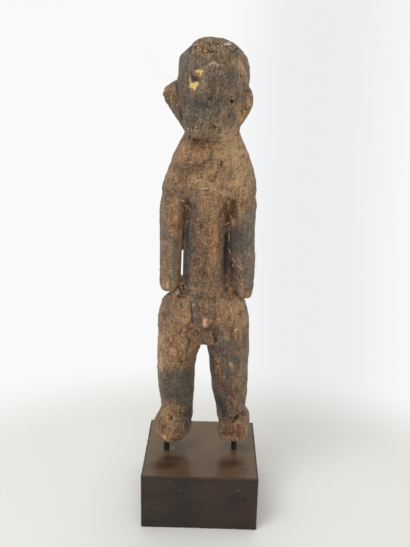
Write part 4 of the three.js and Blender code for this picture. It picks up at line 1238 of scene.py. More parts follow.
    ("moss", 2.5, 0.85, (36, 150), (37, 131), (36.5, 117.5)),
    ("chalk", 1.8, 0.6, (24, 141), (25.5, 138.5)),
    ("grape", 2.9, 0.95, (7, 155), (11, 150.5), (16.5, 152.5)),
    ("gloom", 2.5, 0.7, (8.5, 149.5), (13, 150)),
    ("rust", 2, 0.9, (11.5, 142.5), (11.5, 134), (13.5, 129)),
    ("gloom", 1.8, 0.6, (8.5, 143), (9.5, 130.5)),
    ("rosyDim", 1.2, 0.5, (16, 133.6), (16.9, 129.9)),
    ("slate", 4.2, 0.8, (18.5, 134), (20, 122.5)),
    ("plumRed", 3.4, 0.8, (13, 124), (14.5, 114), (15.5, 107)),
    ("umber", 2.2, 0.4, (12, 117), (14, 109.5)),
    ("gloom", 3, 0.8, (19.5, 132.5), (20, 120), (21, 110)),
    ("slate", 2.9, 0.6, (24.5, 132.5), (25, 125)),
    ("umber", 2.9, 0.6, (26, 121.5), (31, 121)),
    ("sand", 2.7, 0.6, (27, 118.5), (31, 120), (33.5, 125)),
    ("rust", 1.5, 0.5, (25.1, 117.6), (28.6, 116.3)),
    ("umber", 3.4, 0.7, (25, 113.5), (26.5, 104)),
    ("ash", 2.9, 0.5, (29, 109), (31, 101.5), (29.5, 96)),
    ("umber", 2, 0.5, (31.5, 112), (34, 98.5)),
    ("moss", 1.7, 0.6, (37.5, 108)),
    ("gloom", 4.2, 0.97, (15.5, 103), (19, 93.5), (21, 87)),
    ("gloom", 3, 0.85, (23, 102), (24.5, 90)),
    ("plum", 2.5, 0.6, (28.5, 96), (30.5, 90)),
    ("slate", 3.4, 0.6, (27.5, 93), (32, 90.5)),
    ("gloom", 4.7, 0.4, (19, 145.5), (20.5, 132.5), (22, 106)),
    ("grape", 2.5, 0.9, (8.5, 150.5), (9.5, 134.5), (11.5, 116.5), (14.5, 100.5)),
    ("umber", 2.5, 0.5, (26, 120.5), (26.5, 102)),
    ("umber", 2.2, 0.5, (33, 119.5), (34, 98.5)),
    ("gloom", 1.7, 0.8, (6.5, 147), (8.5, 127)),
    ("slate", 3.4, 0.5, (12.5, 98), (21.5, 99.5)),
    ("gloom", 5.9, 0.35, (15, 129.5), (17.5, 102.5)),
    ("gloom", 2.5, 0.5, (8.5, 150.5), (12, 130), (16, 102)),
    ("umber", 4.2, 0.45, (27.5, 124.5), (30, 101.5)),
    ("umber", 3.4, 0.5, (35.5, 104), (36, 87.5)),
    ("slate", 4.2, 0.5, (18, 90.5), (25, 88.5)),
    ("gloom", 2.9, 0.75, (8.5, 152.5), (10, 135), (13, 118), (15, 99)),
    ("umber", 4.2, 0.5, (13, 150), (17, 132), (19, 111.5)),
    ("gloom", 3.4, 0.6, (19, 111.5), (21.5, 93.5)),
    ("rust", 1.7, 0.6, (12.5, 140), (14.5, 127), (16, 113)),
    ("slate", 2.5, 0.5, (21.5, 147.5), (30.5, 143)),
    ("grape", 2.5, 0.6, (14.5, 127), (16.5, 119.5)),
    ("rust", 1.7, 0.4, (9.5, 145), (10.5, 137.5)),
    ("gloom", 2.5, 0.6, (20, 91), (24.5, 87)),
    ("gloom", 2.9, 0.4, (19, 122), (21, 103.5)),
    ("slate", 3.4, 0.35, (18, 149), (25, 140)),
    ("lichen", 2.5, 0.5, (34.5, 147.5), (35.5, 128.5)),
    ("sootAndShade", 1.7, 0.5, (8, 152.5), (10, 137)),
    ("gloom", 2.5, 0.5, (12, 155.5), (16, 141)),
    ("sootAndShade", 1.5, 0.4, (13.8, 107), (16.2, 93.4)),
    ("bark", 2.5, 0.55, (18, 85), (26, 86)),
    ("umber", 3.4, 0.4, (24, 100), (30.5, 90)),
    ("slate", 2.5, 0.4, (17, 124), (21, 112)),
    ("gloom", 3.4, 0.5, (12.5, 104.5), (14, 97)),
    ("gloom", 3, 0.4, (19, 112.5), (20.5, 93.5)),
    ("umber", 2.5, 0.5, (26, 98), (27.5, 92)),
    ("moss", 2.5, 0.45, (37, 157), (38, 148.5)),
    ("slate", 2.5, 0.3, (19.5, 151), (32.5, 137)),
    ("slate", 2.5, 0.3, (24, 120.5), (35.5, 102)),
    ("sootAndShade", 3.4, 0.4, (17, 105.5), (20, 95), (22.5, 89)),
    ("umber", 2.5, 0.4, (25, 100), (28.5, 90)),
    ("gloom", 2.5, 0.4, (9.5, 147), (12.5, 142)),
    ("sootAndShade", 3.4, 0.4, (14, 105), (16, 97.5)),
    ("umber", 3.4, 0.4, (25, 99), (28.5, 90)),
    ("sootAndShade", 2.5, 0.35, (18, 90.5), (22.5, 86)),
    ("moss", 2.5, 0.4, (37, 156), (38, 148.5)),
    ("umber", 2.5, 0.35, (8.5, 148.5), (12.5, 144)),
    ("rust", 1.7, 0.7, (12.5, 145), (12.5, 138), (14, 131)),
    ("amber", 1, 0.6, (14, 142.7), (13.7, 135.8)),
    ("rust", 1.5, 0.5, (14.4, 127.1), (15.5, 119), (17, 111)),
    ("chalk", 1.2, 0.6, (23.8, 140.5), (24.4, 138.9)),
    # Right foot
    ("bark", 2.5, 0.85, (16.5, 83.5), (22.5, 85), (27, 86)),
    ("umber", 2.5, 0.6, (34, 89.5), (38, 88)),
    ("clay", 2, 0.7, (40.5, 84.5), (42.5, 75.5)),
    ("plumRed", 7.6, 0.9, (22, 77), (34.5, 77.5)),
    ("brick", 6.7, 0.5, (22, 79), (34.5, 75.5)),
    ("brick", 3.4, 0.4, (17.5, 84.5), (27, 85)),
    ("rust", 3.4, 0.6, (27, 81.5), (34, 80.5)),
    ("plum", 2.9, 0.5, (19.5, 78), (20.5, 74)),
    ("brick", 1.7, 0.5, (22, 83.5), (25.5, 83)),
    ("rosyDim", 1.3, 0.85, (20.4, 70.8), (27.5, 69.6), (33.7, 69.6)),
    ("amber", 2, 0.6, (36, 76.5), (37.5, 70.5)),
    ("sand", 0.8, 0.8, (37.1, 83.2), (39, 78.9), (40.1, 68.5)),
    ("sand", 1.1, 0.6, (17.1, 80.7), (19.1, 82.8)),
    ("slate", 1.7, 0.8, (15.5, 75.5), (16.5, 68)),
    # Soot in the deep crack and its worm hole: dirt and painted shade.
    ("sootAndShade", 0.9, 1, (31, 88), (29.4, 86.7)),
    ("sootAndShade", 0.8, 1, (29.1, 86.4), (27.9, 84.7)),
    ("brick", 1.2, 0.7, (32.8, 87.7), (31.7, 86.7)),
    ("brick", 2.5, 0.5, (17, 81.5), (23.5, 79)),
    ("brick", 3.4, 0.4, (19, 82.5), (21, 78)),
    ("bark", 2.5, 0.4, (19, 82), (20, 76)),
]
paintBehind = [
    # Head and neck
    ("drift", 24, 0.8, (0, 384), (0, 356)),
    ("slate", 15, 0.8, (4, 388), (4, 352)),
    ("ochre", 8, 0.7, (-12, 398), (14, 396)),
    ("umber", 8, 0.7, (-32, 372), (-30, 350)),
    ("umber", 7, 0.6, (33, 366), (28, 350)),
    ("gloom", 5, 0.6, (-14, 344), (14, 344)),
    ("honey", 3, 0.6, (18, 392), (23, 384)),
    # Soot along the carved grooves on the back, here and below, is dirt and painted shade.
    ("sootAndShade", 0.9, 0.9, (9.5, 392), (8.2, 371), (9.4, 349)),
    ("fresh", 1.3, 0.8, (14, 366.4)),
    # Back
    ("rust", 6, 0.6, (14, 322), (18, 310)),
    ("sand", 8, 0.6, (-22, 312), (-30, 294)),
    ("sand", 7, 0.6, (22, 306), (26, 290)),
    ("slate", 12, 0.7, (3, 300), (0, 262)),
    ("rust", 5, 0.6, (-12, 232), (-14, 212)),
    ("bark", 1.6, 0.8, (2.4, 318), (1.2, 290), (0.4, 262), (-0.6, 232), (-0.4, 204)),
    ("sootAndShade", 3, 0.8, (-17, 262), (-16, 210)),
    ("sootAndShade", 3, 0.8, (18, 256), (19.5, 170)),
    ("slate", 7, 0.7, (-34, 250), (-31, 214)),
    ("slate", 7, 0.7, (36, 250), (37, 206)),
    ("bare", 1.3, 0.9, (-19.5, 289), (-17, 287)),
    # Seat and legs
    ("ochre", 11, 0.6, (-14, 172), (-26, 160)),
    ("ochre", 11, 0.6, (16, 168), (28, 178)),
    ("brick", 4, 0.6, (2, 196), (1, 180)),
    ("sand", 5, 0.5, (20, 184), (24, 176)),
    ("sootAndShade", 1.8, 0.85, (0.2, 196), (0, 163)),
    ("rust", 6, 0.6, (26, 150), (30, 138)),
    ("slate", 15, 0.9, (-38, 122), (-10, 118)),
    ("slate", 10, 0.8, (12, 140), (34, 128)),
    ("amber", 12, 0.6, (-26, 84), (-24, 76)),
    ("umber", 12, 0.6, (26, 84), (28, 76)),
    ("bare", 1.2, 0.9, (27.5, 186), (29, 183.4)),
]


def remeshedCopy(node, spacing):
    # A copy of the CAD solid, merged, and covered anew with even small faces.
    mesh = node.data.copy()
    solid = bmesh.new()
    solid.from_mesh(mesh)
    bmesh.ops.remove_doubles(solid, verts=solid.verts, dist=1e-6)
    solid.to_mesh(mesh)
    solid.free()
    helper = bpy.data.objects.new("helper", mesh)
    scene.collection.objects.link(helper)
    skin = helper.modifiers.new("skin", "REMESH")
    skin.mode = "VOXEL"
    skin.voxel_size = spacing / 1000
    bpy.context.view_layer.update()
    even = bpy.data.meshes.new_from_object(helper.evaluated_get(bpy.context.evaluated_depsgraph_get()))
    bpy.data.objects.remove(helper)
    return even


def meshArrays(mesh):
    # The mesh's points in millimetres, and the pairs of points that its edges join.
    points = np.empty(len(mesh.vertices) * 3)
    mesh.vertices.foreach_get("co", points)
    edges = np.empty(len(mesh.edges) * 2, int)
    mesh.edges.foreach_get("vertices", edges)
    return points.reshape(-1, 3) * 1000, edges.reshape(-1, 2)


def putPoints(mesh, points):
    # Moves the mesh's vertices and returns its new vertex normals.
    mesh.vertices.foreach_set("co", (points / 1000).ravel())
    mesh.update()
    normals = np.empty(len(points) * 3)
    mesh.vertex_normals.foreach_get("vector", normals)
    return normals.reshape(-1, 3)


def neighbourMean(values, edges):
    # The mean of each vertex's neighbours, for one column or several.
    count = np.bincount(edges.ravel(), minlength=len(values))
    columns = values.reshape(len(values), -1)
    total = np.stack([
        np.bincount(edges[:, 0], columns[edges[:, 1], k], len(values))
        + np.bincount(edges[:, 1], columns[edges[:, 0], k], len(values))
        for k in range(columns.shape[1])
    ], axis=1)
    return (total / count[:, None]).reshape(values.shape)


def relax(points, edges, rounds):
    # Each round moves every point half way to its neighbours' mean and then a little more than half way
    # back out, which takes facets and ridges down and keeps the volume.
    for _ in range(rounds):
        for amount in (0.5, -0.53):
            points = points + amount * (neighbourMean(points, edges) - points)
    return points


def carve(points, strokes, holes, facing):
    # How far each point moves along its normal: every stroke takes depth * exp(-(distance / width)²), and
    # a hole has a flat floor and steep sides.
    x, z = points[:, 0], points[:, 2]
    move = np.zeros(len(points))
    for width, depth, *path in strokes:
        move -= depth * np.exp(-(distanceTo(path, x, z) / width) ** 2)
    for radius, depth, holeX, holeZ in holes:
        move -= depth * smoothStep(-np.hypot(x - holeX, z - holeZ), -1.35 * radius, -0.6 * radius)
    return move * facing


def painted(points, normals):
    # Red, green, blue, crust and depth at each point. Every layer blends its pigment over what lies under
    # it: first the weather, by noise, and then each stroke, whose share falls from full at 0.4 of its
    # half width to none at 1.5, along a frayed border.
    layers = {}
    for name, (colour, crust, deep) in pigments.items():
        layers[name] = np.array([*tone(*colour)[:3], crust, deep])
    coat = np.tile(layers["clay"], (len(points), 1))

    def lay(name, share):
        coat[:] = coat + share[:, None] * (layers[name] - coat)

    side = smoothStep(0.2 * softNoise(points, 3, 13) - normals[:, 1], -0.7, -0.1)
    openness = 1 - 0.6 * smoothStep(-normals[:, 1], 0, 0.4)
    for k, (name, size, start, strength) in enumerate(weather):
        lay(name, strength * openness * smoothStep(roughNoise(points, size, 90 + 5 * k), start, start + 0.5))
    # Surfaces that face left or right turn grey-olive: patina and a painted reflection of the pale surround.
    lay("moss", 0.5 * smoothStep(np.abs(normals[:, 0]), 0.75, 0.97))
    fray = 0.24 * softNoise(points, 5.2, 11) + 0.3 * softNoise(points, 2, 12)
    for strokes, facing in ((paint, side), (paintBehind, 1 - side)):
        for name, width, strength, *path in strokes:
            reach = distanceTo(path, points[:, 0], points[:, 2]) / width + fray
            lay(name, strength * facing * smoothStep(-reach, -1.5, -0.4))
    return coat


def rounded(points, edges):
    # The smoothed surface, taken back to the less smoothed one at the crisp edges. The end of the left
    # arm moves down by drop * exp(-(distance / size)²).
    crisp = relax(points, edges, carving["crispRounds"])
    soft = relax(crisp, edges, carving["rounds"])
    keep = np.zeros(len(points))
    for width, *path in crispEdges:
        reach = distanceTo(path, points[:, 0], points[:, 2]) / width
        keep = np.maximum(keep, smoothStep(-reach, -1.3, -0.9) * (points[:, 1] < carving["crispFront"]))
    points = soft + (crisp - soft) * keep[:, None]
    share = np.exp(-(((points - armEnd["place"]) / armEnd["size"]) ** 2).sum(axis=1))
    points[:, 2] -= armEnd["drop"] * share * smoothStep(points[:, 2], *armEnd["setsIn"])
    return points


def weathered(points, crust):
    # How far each point moves along its normal by flats, erosion, fibre, crumbs and pits: a depth times a
    # noise for each. Erosion, crumbs and pits are stronger where the crust is thick.
    adze, adzeSize = carving["adze"]
    erosion, erosionSize = carving["erosion"]
    fibre, fibreSize = carving["fibre"]
    crumb, crumbSize = carving["crumb"]
    pitDepth, pitSize = carving["pits"]
    move = adze * softNoise(points, adzeSize, 21)
    move += erosion * roughNoise(points, erosionSize, 31) * (0.5 + 0.8 * crust)
    move += fibre * roughNoise(points, fibreSize, 41, 2)
    move += crumb * crust * roughNoise(points, crumbSize, 51, 2)
    move -= pitDepth * crust * smoothStep(softNoise(points, pitSize, 61), 0.45, 0.8)
    return move


def withinSolid(points):
    # Counted in crownGive and from that much below the solid's top, a height t becomes 1 - exp(-t), so
    # that no point passes the top. The rest is clipped to the solid's box.
    low, high = (np.array(corner) * 1000 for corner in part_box("figure"))
    give = carving["crownGive"]
    over = np.maximum(points[:, 2] - high[2] + give, 0) / give
    points[:, 2] += give * (1 - np.exp(-over) - over)
    return np.clip(points, low, high)


def hollowsAndRidges(points, normals, edges):
    # How far each point lies below the mean of its surroundings along its normal, nearby and further
    # round, as a share from 0 to 1, and how far above.
    # The first of the two becomes dirt and painted shade in the hollows.
    near = points
    for _ in range(3):
        near = neighbourMean(near, edges)
    wide = near
    for _ in range(14):
        wide = neighbourMean(wide, edges)
    fine = ((near - points) * normals).sum(axis=1)
    broad = ((wide - points) * normals).sum(axis=1)
    return np.clip(fine * 1.4 + broad * 0.5, 0, 1), np.clip(-fine * 1.6 - broad * 0.3, 0, 1)


def carvedSurface(mesh):
    # Rounds the surface, moves every point along its normal by all the wear and carving together, and
    # gives the mesh what colours it.
    points, edges = meshArrays(mesh)
    points = rounded(points, edges)
    normals = putPoints(mesh, points)
    front = smoothStep(-normals[:, 1], -0.05, 0.3)
    behind = smoothStep(normals[:, 1], -0.05, 0.3)
    coat = painted(points, normals)
    crust, sink = coat[:, 3], coat[:, 4]

    inGap = np.abs(points - gap["place"]) / gap["half"]
    inGap = smoothStep(-inGap.max(axis=1), -1.15, -0.9) * smoothStep(np.abs(normals[:, 0]), 0.35, 0.7)
    move = weathered(points, crust)
    move += carve(points, carvedStrokes, wormHoles, front)
    move += carve(points, carvedBehind, wormHolesBehind, behind)
    move -= sink
    for radius, amount, place in swellings:
        move += amount * np.exp(-((points - place) ** 2).sum(axis=1) / radius**2)
    move += carving["swell"] + carving["lean"] * normals[:, 0]
    move = move * (1 - inGap) + gap["give"] * inGap
    points = withinSolid(points + normals * move[:, None])
    normals = putPoints(mesh, points)

    hollowDirtAndShade, ridge = hollowsAndRidges(points, normals, edges)
    # Each worm hole is darkened with the soot tone: dirt and painted shade in the hole.
    sootAndShade = np.array(tone(*pigments["sootAndShade"][0])[:3])
    for holes, facing in ((wormHoles, front), (wormHolesBehind, behind)):
        for radius, _, holeX, holeZ in holes:
            reach = np.hypot(points[:, 0] - holeX, points[:, 2] - holeZ)
            spot = smoothStep(-reach, -1.4 * radius, -0.7 * radius)
            coat[:, :3] += (spot * facing)[:, None] * (sootAndShade - coat[:, :3])
    setMask(mesh, "crust", crust)
    setMask(mesh, "hollowDirtAndShade", hollowDirtAndShade)
    setMask(mesh, "ridge", ridge)
    # The colour at each point, painted shade included.
    setColour(mesh, "pigmentAndShade", coat[:, :3])


wornWood = {
    "cloud": 12,  # widths of the patches of each noise
    "flush": 7,
    "mottle": 3.4,
    "grit": 1.5,
    "streak": 2.2,
    "crackCells": 4.2,
    "crackBend": (420, 0.0022),  # patches in a metre, and how far they bend the cracks, in metres
    "tones": {
        # Multiplied into the wood
        "cloudTint": (238, 218, 204),
        "warmTint": (255, 230, 212),
        "greenTint": (226, 238, 222),
        "darkFleck": (172, 148, 128),
        "crack": (138, 116, 98),
        # Dirt and painted shade in the hollows
        "hollowDirtAndShade": (130, 112, 100),
        # Added to it
        "paleFleck": (104, 92, 76),
        "ridge": (66, 56, 42),
        # Laid over it
        "paleCrumb": (204, 180, 138),
        "darkCrumb": (52, 42, 32),
    },
}


def wornWoodFinish():
    # The painted colour is tinted by broad clouds, flecked by fine noise, cracked where the crust is
    # thick, darkened in hollows by dirt and painted shade, and lit on ridges.
    finish = Finish(bpy.data.materials.new("worn_wood"))
    mix, rise, tinted = finish.mix, finish.rise, finish.tinted
    tones = {name: tone(*colour) for name, colour in wornWood["tones"].items()}
    plain = finish.place()
    upright = finish.place((1, 1, 0.24))
    cloud = finish.noise(plain, wornWood["cloud"], 4, 0.6)
    mottle = finish.noise(plain, wornWood["mottle"], 4, 0.7)
    grit = finish.noise(plain, wornWood["grit"], 3, 0.65)
    streak = finish.noise(upright, wornWood["streak"], 4, 0.65)
    bendScale, bendReach = wornWood["crackBend"]
    warp = finish.add("TexNoise", inputs={"Vector": plain, "Scale": bendScale, "Detail": 2}, output="Color")
    bent = finish.add("VectorMath", {"operation": "MULTIPLY_ADD"}, {0: warp, 1: (bendReach,) * 3, 2: plain})
    cells = {"Vector": bent, "Scale": 1000 / wornWood["crackCells"]}
    cell = finish.add("TexVoronoi", {"feature": "DISTANCE_TO_EDGE"}, cells, output="Distance")
    crust = finish.mask("crust")
    hollowDirtAndShade = finish.mask("hollowDirtAndShade")
    ridge = finish.mask("ridge")
    # The painted colour, which holds painted shade in grooves, creases and undercuts.
    colour = finish.add("Attribute", {"attribute_name": "pigmentAndShade"}, output="Color")

    colour = tinted(rise(cloud, 0.48, 0.68) * 0.5, colour, tones["cloudTint"])
    flush = finish.noise(finish.place((1, 1, 0.7)), wornWood["flush"], 2, 0.5)
    colour = tinted(rise(flush, 0.5, 0.64) * 0.4, colour, tones["warmTint"])
    colour = tinted(rise(1 - flush, 0.5, 0.64) * 0.4, colour, tones["greenTint"])
    fleck = (mottle - 0.5) * 0.2 + (grit - 0.5) * 1.4 + (streak - 0.5) * 0.9
    pale = rise(fleck, 0, 0.22)
    dark = rise(0 - fleck, 0, 0.24)
    crack = (1 - rise(cell, 0.015, 0.1)) * rise(crust + (cloud - 0.5) * 2, 0.55, 0.95)
    colour = mix(pale * (0.36 + 0.9 * crust), colour, tones["paleFleck"], "ADD")
    colour = tinted((dark * (0.36 + 0.62 * crust)).clamped(), colour, tones["darkFleck"])
    crumbling = rise(crust, 0.72, 0.96)
    colour = mix(rise(fleck, 0.08, 0.16) * crumbling * 0.65, colour, tones["paleCrumb"])
    colour = mix(rise(0 - fleck, 0.03, 0.12) * crumbling * 0.5, colour, tones["darkCrumb"])
    colour = tinted(crack * 0.85, colour, tones["crack"])
    colour = mix(rise(ridge + (mottle - 0.5) * 0.6, 0.12, 0.75) * 0.5, colour, tones["ridge"], "ADD")
    # Dirt and painted shade darken the hollows.
    colour = tinted(rise(hollowDirtAndShade + (mottle - 0.5) * 0.5, 0.08, 0.75) * 0.7, colour, tones["hollowDirtAndShade"])
    finish.set("Base Color", colour)

    finish.set("Roughness", (0.56 + 0.3 * crust - pale * 0.1 + dark * 0.12).clamped())
    finish.set("Specular IOR Level", 0.32)
    finish.set("Sheen Weight", 0.1)
    finish.set("Sheen Roughness", 0.45)
    finish.relief(fleck * (0.6 + 0.8 * crust) - crack * 0.35, 1)
    return finish.owner


figureMesh = remeshedCopy(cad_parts["figure"], carving["grain"])
carvedSurface(figureMesh)
figure = handOver("carved_figure", figureMesh, wornWoodFinish(), ["figure"])
print("figure carved")


# Bits of straw and dry fibre caught in the carving, and one stray hair at the ear

straw = {
    "radius": 0.28,
    "lift": 0.15,  # how far its middle line lies out from the wood
    "grain": 1.6,
    "tones": ((230, 210, 168), (182, 152, 106)),
    "bits": [  # x and z along each bit
        ((-9.9, 295.6), (-9, 296), (-7.5, 296.9), (-6.7, 297.7), (-4.4, 298.4)),
        ((-11.5, 297.7), (-11.1, 295.9)),
        ((-6.6, 291.2), (-2.7, 291.5), (1.9, 291)),
        ((19.6, 268.2), (20.4, 265.8), (21.4, 262.9), (22.2, 260.6)),
        ((19.4, 261.4), (18.3, 260.2), (16.2, 259.4)),
        ((19.4, 251.8), (19.5, 249), (19.6, 244.8)),
        ((19.8, 238), (20.5, 236), (20.8, 233.8)),
        ((22.6, 230.8), (23.5, 229.8), (25, 228.2)),
        ((23, 225.4), (23.8, 223)),
        ((27.5, 226.4), (29.2, 224.4), (31.8, 222.4)),
        ((32.1, 215), (32.2, 212.5)),
        ((30.6, 211), (31.5, 209)),
        ((-15.2, 275.4), (-15, 273), (-15.8, 271.2)),
        ((-17, 276), (-16.2, 274)),
        ((-20.3, 280.4), (-17.9, 279.7)),
    ],
    "hairRadius": 0.07,
    "hair": ((-25, -3, 372.6), (-28.5, -3, 374.4), (-33, -3, 376), (-37.6, -3, 377.3), (-42.8, -3, 381.6),
             (-45.4, -3, 389.8), (-47.1, -3, 395.4)),
}


def strawFinish():
    # Two straw tones in soft patches.
    finish = Finish(bpy.data.materials.new("dry_straw"))
    along = finish.noise(finish.place(), straw["grain"], 3)
    pale, dull = (tone(*colour) for colour in straw["tones"])
    finish.set("Base Color", finish.mix(finish.rise(along, 0.35, 0.65), pale, dull))
    finish.set("Roughness", 0.6)
    finish.relief(along, 0.1)
    return finish.owner


def smoothPath(path, steps):
    # Evenly spaced points along the path, whose corners are then eased twice by the mean of a point's
    # neighbours and twice itself.
    path = np.array(path, float)
    length = np.concatenate([[0], np.cumsum(np.linalg.norm(np.diff(path, axis=0), axis=1))])
    places = np.linspace(0, length[-1], steps)
    line = np.stack([np.interp(places, length, column) for column in path.T], axis=1)
    for _ in range(2):
        line[1:-1] = (line[:-2] + 2 * line[1:-1] + line[2:]) / 4
    return line


def makeStraw():
    # Each bit lies on the wood behind it, as seen from the front, and thins out at both ends.
    tree = BVHTree.FromObject(figure, bpy.context.evaluated_depsgraph_get())
    allPoints, allFaces = [], []
    for bit in straw["bits"]:
        line = smoothPath(bit, 9)
        heights = []
        for x, z in line:
            hit = tree.ray_cast(Vector((x / 1000, -0.2, z / 1000)), Vector((0, 1, 0)))[0]
            heights.append(hit.y * 1000 - straw["lift"])
        path = np.column_stack([line[:, 0], smoothHeights(heights), line[:, 1]])
        radii = straw["radius"] * (1 - 0.55 * np.abs(np.linspace(-1, 1, len(path))) ** 3)
        points, faces = tube(path, radii, 6)
        offset = sum(len(part) for part in allPoints)
        allPoints.append(points)
        allFaces += [tuple(corner + offset for corner in face) for face in faces]
    finish = strawFinish()
    makePiece("straw_bits", np.concatenate(allPoints), allFaces, finish)
    hair = smoothPath(straw["hair"], 24)
    points, faces = tube(hair, straw["hairRadius"], 6)
    makePiece("stray_hair", points, faces, finish)


def smoothHeights(heights):
    # A stiff bit of straw bridges small dips: each point takes the frontmost of itself and its
    # neighbours' mean, three times over.
    heights = np.array(heights)
    for _ in range(3):
        heights[1:-1] = np.minimum(heights[1:-1], (heights[:-2] + heights[2:]) / 2)
    return heights


makeStraw()
print("straw laid")


# The display block

block = {
    "half": (50, 50, 25),  # half its width, depth and height
    "rounding": 1.1,
    "lines": 78,  # grid lines along a 100 mm edge
    "wear": 0.35,  # how far the dents in the edges go
    "sag": 0.05,  # how far the flats dip
    "smear": (-26, -2.8, 3.2, 3.2),  # on top: x, y, half width, half depth
    # The rings are painted reflections of the feet, dark patches on the top near each foot.
    "rings": ((-33, -31, 15, 9), (-27, -20, 11, 5), (24, -26, 12, 8)),  # on top, the same
    "stain": (33, 27, 19, 19),  # on the front: x, z, half width, half height
    # On the front: x, z and half height
    "rubs": ((33, 39, 1.6), (-26, 46, 1.1), (-17, 38, 1.2), (36, 34, 1), (44, 30, 0.9)),
    "rubStretch": 1.3,  # how much wider than high a rub is
    "rim": (47, 48.4),  # heights over which the dark rim under the top sets in
    "tones": {
        "side": (40, 38, 38),
        "sideWarm": (56, 42, 38),
        "sideOlive": (50, 45, 36),
        "sideBlack": (34, 33, 35),
        # The top tones are a painted reflection of the wall and the figure.
        "top": (92, 73, 55),
        "topWarm": (100, 78, 58),
        "topOlive": (96, 82, 60),
        "topBackReflection": (112, 88, 60),
        "footReflectionTint": (176, 164, 164),
        "rim": (22, 18, 16),
        "grainTint": (168, 160, 156),
        "scuff": (120, 112, 100),
        "edge": (86, 70, 50),
        "smear": (136, 138, 112),
        "stainTint": (206, 218, 226),
        "rub": (112, 110, 108),
    },
}


def spacedLines(half, rounding, count):
    # Even lines over the flat, and four closer ones over each rounded edge.
    flat = np.linspace(-half + rounding, half - rounding, count)
    edge = np.linspace(rounding / 4, rounding, 4)
    return np.concatenate([-half + rounding - edge[::-1], flat, half - rounding + edge])


def roundedBox():
    # Six grids of two parameters, one for each side of a box. Each point is drawn back to the inner box
    # and pushed out again by the rounding, so the edges become quarter rounds and the corners parts of a
    # ball.
    half, rounding = np.array(block["half"], float), block["rounding"]
    inner = half - rounding
    allPoints, allFaces, offset = [], [], 0
    for axis in range(3):
        across, up = (axis + 1) % 3, (axis + 2) % 3
        u, v = (spacedLines(half[k], rounding, round(block["lines"] * half[k] / 50)) for k in (across, up))
        for side in (-1, 1):
            grid = np.empty((len(u), len(v), 3))
            grid[..., axis] = side * half[axis]
            grid[..., across] = u[:, None]
            grid[..., up] = v
            points = grid.reshape(-1, 3)
            core = np.clip(points, -inner, inner)
            out = points - core
            allPoints.append(core + rounding * out / np.linalg.norm(out, axis=1)[:, None])
            corner = np.arange(len(u) - 1)[:, None] * len(v) + np.arange(len(v) - 1) + offset
            quads = np.stack([corner, corner + len(v), corner + len(v) + 1, corner + 1], axis=-1)
            allFaces += quads.reshape(-1, 4).tolist()
            offset += len(points)
    return np.concatenate(allPoints), allFaces


def wornBox():
    # Small dents and rubbed stretches pull the edges in, and the flats dip a hair's breadth.
    points, faces = roundedBox()
    half = np.array(block["half"], float)
    inset = half - np.abs(points)
    second = np.sort(inset, axis=1)[:, [1]]  # how far the nearest edge is
    edge = smoothStep(-second[:, 0], -2.2, -0.2)
    dents = smoothStep(softNoise(points, 5, 71), 0.25, 0.9)
    dents += 0.5 * smoothStep(softNoise(points, 2, 72), 0.3, 0.9)
    inward = block["wear"] * edge * dents + block["sag"] * (1 + softNoise(points, 18, 73))
    direction = np.sign(points) * (second > inset - 1e-6)
    direction /= np.maximum(np.linalg.norm(direction, axis=1), 1)[:, None]
    points = points - direction * inward[:, None]
    points[:, 2] += half[2]
    return points, faces


